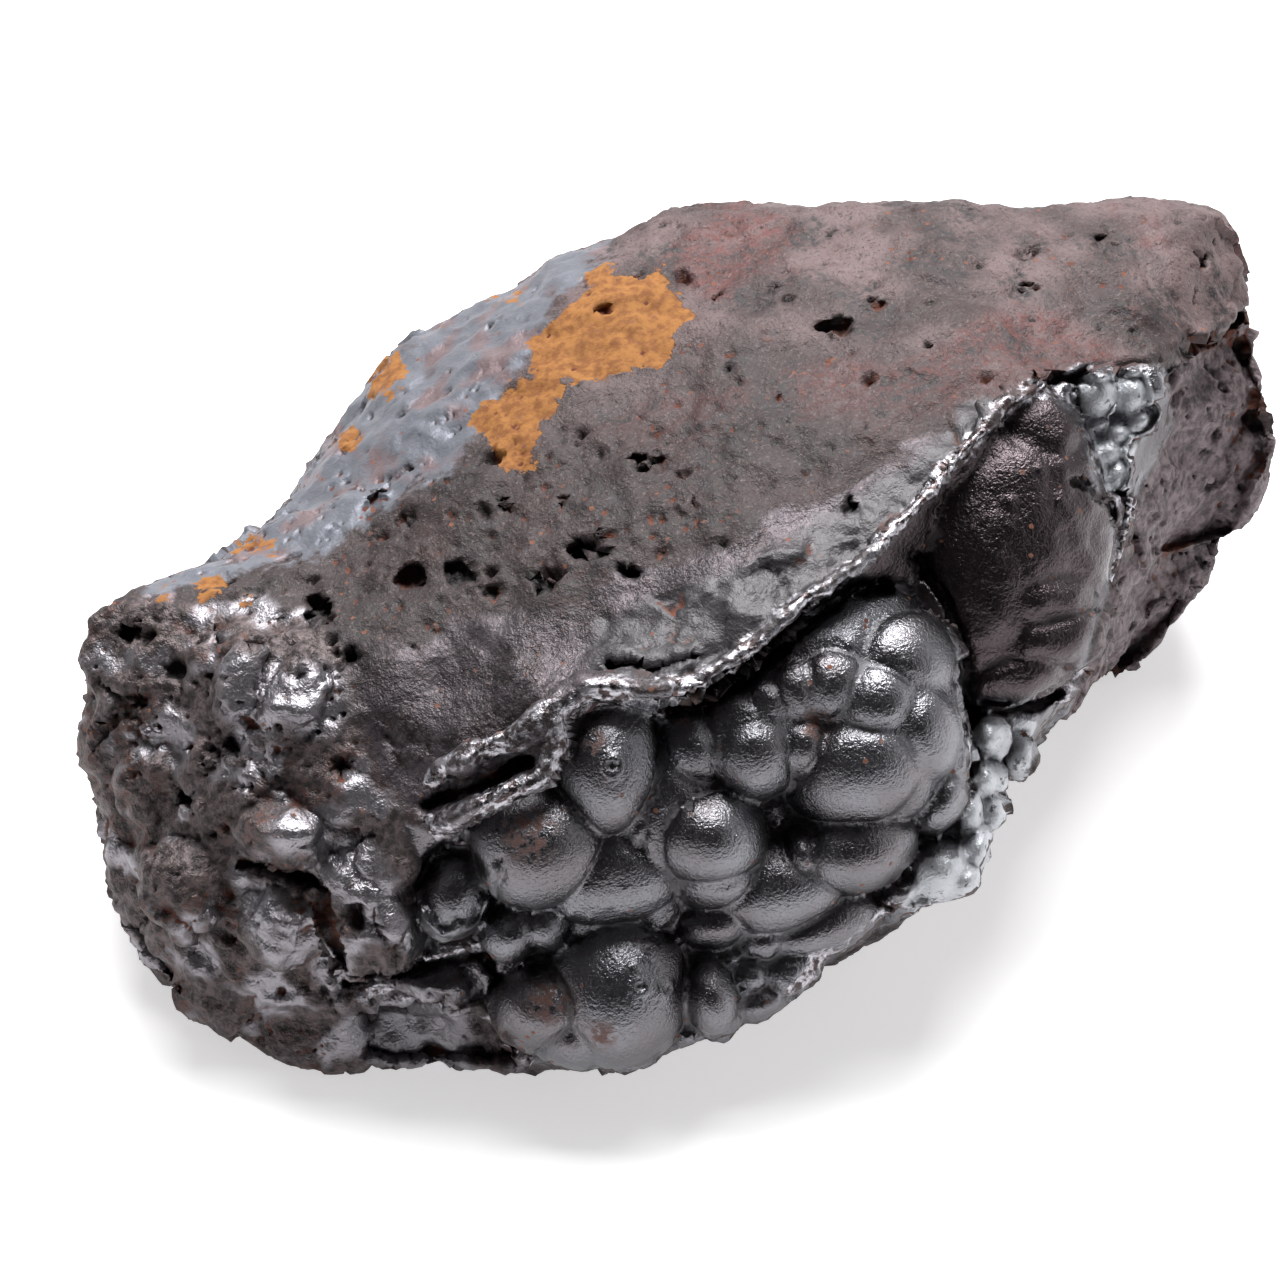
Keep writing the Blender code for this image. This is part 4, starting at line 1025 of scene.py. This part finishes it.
class Painter:
    """Adds nodes to a material and joins them up."""

    def __init__(self, tree):
        self.tree = tree

    def set_input(self, socket, value):
        """A node's input set to a value or joined to another node."""
        if isinstance(value, bpy.types.NodeSocket):
            self.tree.links.new(value, socket)
        else:
            socket.default_value = value

    def node(self, kind, inputs=None, **settings):
        """A node with its settings and inputs."""
        made = self.tree.nodes.new(kind)
        for name, value in settings.items():
            setattr(made, name, value)
        for name, value in (inputs or {}).items():
            self.set_input(made.inputs[name], value)
        return made

    def place(self, shift=0.0):
        """Place on the rock, shifted alike along its axes."""
        metres = self.node("ShaderNodeTexCoord").outputs["Object"]
        inputs = {0: metres, 1: (1.0 / MM,) * 3, 2: (shift,) * 3}
        return self.node("ShaderNodeVectorMath", inputs, operation="MULTIPLY_ADD").outputs[0]

    def kept(self, name):
        """A value kept on the mesh."""
        return self.node("ShaderNodeAttribute", attribute_name=name).outputs["Fac"]

    def maths(self, operation, first, second):
        """Arithmetic on two values."""
        return self.node("ShaderNodeMath", {0: first, 1: second}, operation=operation).outputs[0]

    def times(self, first, *others):
        """Values multiplied together."""
        for other in others:
            first = self.maths("MULTIPLY", first, other)
        return first

    def most(self, first, *others):
        """The largest of some values."""
        for other in others:
            first = self.maths("MAXIMUM", first, other)
        return first

    def lack(self, value):
        """What a value lacks to 1."""
        return self.maths("SUBTRACT", 1.0, value)

    def rise(self, value, span):
        """Smooth rise from 0 at a span's first end to 1 at its last."""
        low, high = span
        return self.node("ShaderNodeMapRange", {"Value": value, "From Min": low, "From Max": high},
                         interpolation_type="SMOOTHSTEP").outputs["Result"]

    def grain(self, size, detail, shift, roughness):
        """Noise with features of a given size, about 0 to 1."""
        inputs = {"Vector": self.place(shift), "Scale": 1.0 / size, "Detail": detail}
        return self.node("ShaderNodeTexNoise", {**inputs, "Roughness": roughness}).outputs["Fac"]

    def cells(self, size):
        """Distance to the nearest of scattered points."""
        inputs = {"Vector": self.place(), "Scale": 1.0 / size}
        return self.node("ShaderNodeTexVoronoi", inputs).outputs["Distance"]

    def blend(self, share, first, second):
        """Two colours or values mixed: share 0 gives the first, 1 the second."""
        numbers = [isinstance(value, float) or getattr(value, "type", "") == "VALUE"
                   for value in (first, second)]
        made = self.node("ShaderNodeMix", data_type="FLOAT" if any(numbers) else "RGBA")
        offset = 2 if any(numbers) else 6
        for slot, value in ((0, share), (offset, first), (offset + 1, second)):
            self.set_input(made.inputs[slot], value)
        return made.outputs[0 if any(numbers) else 2]

    def two_tone(self, share, first, second):
        """Two colours of the palette mixed."""
        return self.blend(share, colour(first), colour(second))

    def coats(self, under, rows):
        """Coats laid over a colour or value in turn: cover, and what it covers with."""
        for cover, coat in rows:
            under = self.blend(cover, under, colour(coat) if isinstance(coat, str) else coat)
        return under


def surface(paint):
    """Grains, areas with ragged edges, patches and hollows, for the material."""
    look = {"fine": paint.grain(*FINE_GRAIN), "micro": paint.grain(*MICRO_GRAIN)}
    uneven = paint.maths("SUBTRACT", look["fine"], 0.5)
    for name, (begins, full, ragged) in COLOUR_EDGES.items():
        moved = paint.maths("ADD", paint.kept(name), paint.times(uneven, ragged))
        look[name] = paint.rise(moved, (begins, full))
    for name in (*PATCHES, "stain", "dusk", "unseen"):
        look[name] = paint.kept(name)
    look["uneven"] = uneven
    look["even"] = paint.rise(look["fine"], EVEN)
    # Pits: where painted shade darkens the rock, and where rust may sit
    look["pit"] = paint.rise(paint.kept("small_hollow"), PIT)
    look["rust"] = paint.times(look["pit"], look["rusty"])
    specks = paint.rise(paint.cells(SPECK_SPACING), SPECK_EDGE)
    look["specks"] = paint.times(specks, look["rusty"], paint.lack(look["vug"]))
    look["stain"] = paint.times(look["stain"], paint.rise(look["fine"], STAIN_GRAIN))
    return SimpleNamespace(**look)


def rock_colour(paint, look):
    """Colour of the rough rock, area over area."""
    fine, times, two_tone = look.fine, paint.times, paint.two_tone
    lump = paint.coats(two_tone(look.even, "lump dark", "lump pale"), [
        (times(look.rusty, paint.rise(fine, RUST_GRAIN)), "lump rust"),
    ])
    ochre = two_tone(look.even, "ochre dark", "ochre pale")
    return paint.coats(two_tone(look.tone, "worn dark", "worn pale"), [
        (times(look.red, paint.rise(fine, WIDE)), "reddish"),
        # Painted shade darkening the upper face towards the rim
        (times(look.dusk, 0.85), "painted rimward shade"),
        (look.skin, two_tone(look.tone, "skin dark", "skin pale")),
        (times(look.mottle, paint.rise(fine, DARK_EVEN)), "mottle"),
        (times(paint.rise(look.micro, PALE_GRAIN), 0.5), "grain pale"),
        (times(paint.rise(look.micro, DARK_GRAIN), 0.8), "grain dark"),
        (times(look.unseen, 0.7), "unseen"),
        # Blue face: partly its own blue-grey, partly painted sheen
        (look.blue_face, two_tone(look.streak, "blue-grey and painted sheen", "pink")),
        # Left lumps, paler where shiny: partly real lustre, partly painted highlight on the bright ridges
        (times(look.left_lumps, 0.9), paint.blend(look.shiny, lump, colour("glint"))),
        (times(look.rim_chips, 0.8), "chip"),
        (times(look.grainy_end, 0.8), two_tone(look.even, "end dark", "end pale")),
        # Painted shade in the pits
        (times(look.pit, 0.85), "pit"),
        (times(look.rust, 0.8), "rust"),
        # Ochre, darker in its pits with painted shade
        (look.ochre, paint.blend(look.pit, ochre, colour("ochre painted pit shade"))),
    ])


def metal_colour(paint, look, rock):
    """Colour of the bulbs, crust, pale crystals and edge, specks and stains over the rock, with painted shade
    in the deep hollows.
    """
    metal = paint.two_tone(look.tone, "metal cool", "metal warm")
    deep = paint.rise(paint.kept("deep_hollow"), DEEP_HOLLOW_SHADE)
    return paint.coats(rock, [
        (look.bulbs, paint.blend(look.panel, metal, colour("panel"))),
        (look.crust, paint.two_tone(paint.rise(look.fine, CRISP), "crust dark", "crust pale")),
        # Pale crystals, and painted sheen on the pale broken edge
        (look.vug, paint.two_tone(paint.rise(look.fine, MOSTLY_PALE), "vug dark", "vug pale")),
        (look.specks, "speck"),
        (paint.times(look.stain, 0.8), "stain"),
        # Painted shade in the deep hollows, but not on the pale crystals and edge
        (paint.times(deep, 0.55, paint.lack(look.vug)), "shade"),
    ])


def finish(paint, look):
    """How metallic and how rough each area is."""
    dull = paint.most(look.ochre, look.specks, look.rust, paint.times(look.stain, 0.8))
    metallic = paint.coats(ROCK_METALLIC, [
        (look.blue_face, 0.50),
        (paint.times(look.skin, 0.7), 0.8),
        (look.left_lumps, paint.blend(look.shiny, 0.4, 0.95)),
        (look.rim_chips, 0.35),
        (look.grainy_end, 0.25),
        (paint.most(look.bulbs, look.crust), 1.0),
        (look.vug, 0.35),
    ])
    roughness = paint.coats(ROCK_ROUGHNESS, [
        (look.blue_face, 0.52),
        (look.skin, 0.45),
        (look.left_lumps, paint.blend(look.shiny, 0.52, 0.40)),
        (look.rim_chips, 0.46),
        (look.bulbs, 0.31),
        (look.crust, 0.36),
        (look.vug, 0.36),
    ])
    roughness = paint.maths("ADD", roughness, paint.times(look.uneven, ROUGHNESS_SWAY))
    return paint.times(metallic, paint.lack(dull)), paint.blend(dull, roughness, DULL_ROUGHNESS)


def grain_bump(paint, look):
    """Grain finer than the mesh, quieter on glints, chips and patches."""
    rock, panel = (
        paint.maths("ADD", paint.times(look.fine, of_fine), paint.times(look.micro, of_micro))
        for of_fine, of_micro in (ROCK_BUMP, PANEL_BUMP)
    )
    glints = paint.most(paint.times(look.left_lumps, look.shiny), look.rim_chips)
    patches = paint.most(look.blue_face, look.ochre, paint.times(look.skin, look.shiny))
    quiet = paint.most(paint.times(glints, 0.35), paint.times(patches, 0.5))
    rock = paint.times(rock, paint.lack(quiet))
    rock = paint.blend(look.left_lumps, rock, paint.times(rock, LUMP_BUMP))
    skin = paint.blend(look.panel, paint.times(look.micro, BULB_BUMP), panel)
    height = paint.blend(look.crust, paint.blend(look.bulbs, rock, skin), rock)
    return paint.node("ShaderNodeBump", {"Height": height, "Distance": MM, "Strength": 1.0}).outputs["Normal"]


def hematite_material():
    """The rock's one material."""
    material = bpy.data.materials.new("hematite")
    material.use_nodes = True
    paint = Painter(material.node_tree)
    look = surface(paint)
    metallic, roughness = finish(paint, look)
    shader = material.node_tree.nodes["Principled BSDF"]
    paint.set_input(shader.inputs["Base Color"], metal_colour(paint, look, rock_colour(paint, look)))
    paint.set_input(shader.inputs["Metallic"], metallic)
    paint.set_input(shader.inputs["Roughness"], roughness)
    paint.set_input(shader.inputs["Normal"], grain_bump(paint, look))
    return material


def build_rock():
    """The specimen as one mesh in metres, and how far it was moved."""
    shells = whole_shape()
    data = bpy.data.meshes.new("hematite_rock")
    shells.to_mesh(data)
    shells.free()
    rock = add("hematite_rock", data)
    with_modifier(rock, "REMESH", mode="VOXEL", voxel_size=FINE_VOXEL)
    keep_largest(rock)
    sharpen_bulbs(rock)
    carve_seen(rock)
    roughen(rock)
    fine_relief(rock)
    keep_looks(rock)
    simplify(rock)
    rest_flat(rock)
    keep_largest(rock)
    rock.data.transform(Matrix.Rotation(-LONG_AXIS_TURN, 4, "Z"))
    rows = coordinates(rock)
    middle = (rows.min(axis=0) + rows.max(axis=0)) / 2
    moved = Vector((-middle[0], -middle[1], 0.0))
    rock.data.transform(Matrix.Translation(moved))
    rock.data.transform(Matrix.Scale(MM, 4))
    rock.data.shade_smooth()
    rock.data.materials.append(hematite_material())
    return rock, moved


def to_object(place, moved):
    """A place in the sight's frame as a place in the object's, in metres."""
    return (Matrix.Rotation(-LONG_AXIS_TURN, 3, "Z") @ Vector(place) + moved) * MM


def look_at_rock(thing, place, moved):
    """A camera or lamp set in the sight's frame and turned to its centre."""
    eye = to_object(place, moved)
    turn = (to_object(CENTRE, moved) - eye).to_track_quat("-Z", "Y")
    thing.matrix_world = Matrix.Translation(eye) @ turn.to_matrix().to_4x4()


def photo_camera(moved):
    """The camera of the photograph."""
    data = bpy.data.cameras.new("camera")
    data.lens = LENS
    data.sensor_width = SENSOR
    data.clip_start = NEAREST_SIGHT
    camera = add("camera", data)
    look_at_rock(camera, EYE, moved)
    bpy.context.scene.camera = camera


def soft_lamp(moved):
    """A large soft lamp over the specimen, like a window."""
    data = bpy.data.lights.new("window", "AREA")
    data.shape = "RECTANGLE"
    data.size, data.size_y = WINDOW_SIDES
    data.energy = WINDOW_WATTS
    look_at_rock(add("window", data), WINDOW_PLACE, moved)


def dark_room():
    """Surroundings: a dark room with pale walls, as the bulbs mirror it."""
    world = bpy.data.worlds.new("room")
    bpy.context.scene.world = world
    world.use_nodes = True
    paint = Painter(world.node_tree)
    way = paint.node("ShaderNodeTexCoord").outputs["Generated"]
    room = ROOM_DARK
    for wall_way, wall_edge, wall_colour in WALLS:
        wall = Matrix.Rotation(-LONG_AXIS_TURN, 3, "Z") @ Vector(wall_way).normalized()
        towards = paint.node("ShaderNodeVectorMath", {0: way, 1: tuple(wall)}, operation="DOT_PRODUCT")
        room = paint.blend(paint.rise(towards.outputs["Value"], wall_edge), room, wall_colour)
    paint.set_input(world.node_tree.nodes["Background"].inputs["Color"], room)


def pale_floor():
    """The plain pale table."""
    mesh = bmesh.new()
    bmesh.ops.create_grid(mesh, x_segments=1, y_segments=1, size=FLOOR_HALF)
    data = bpy.data.meshes.new("floor")
    mesh.to_mesh(data)
    mesh.free()
    material = bpy.data.materials.new("pale table")
    material.use_nodes = True
    shader = material.node_tree.nodes["Principled BSDF"]
    for name, value in FLOOR_LOOK.items():
        shader.inputs[name].default_value = value
    data.materials.append(material)
    add("floor", data)


rock, moved = build_rock()
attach(rock, "root")
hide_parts("hematite")
pale_floor()
dark_room()
soft_lamp(moved)
photo_camera(moved)
bpy.context.scene.view_settings.view_transform = "Standard"
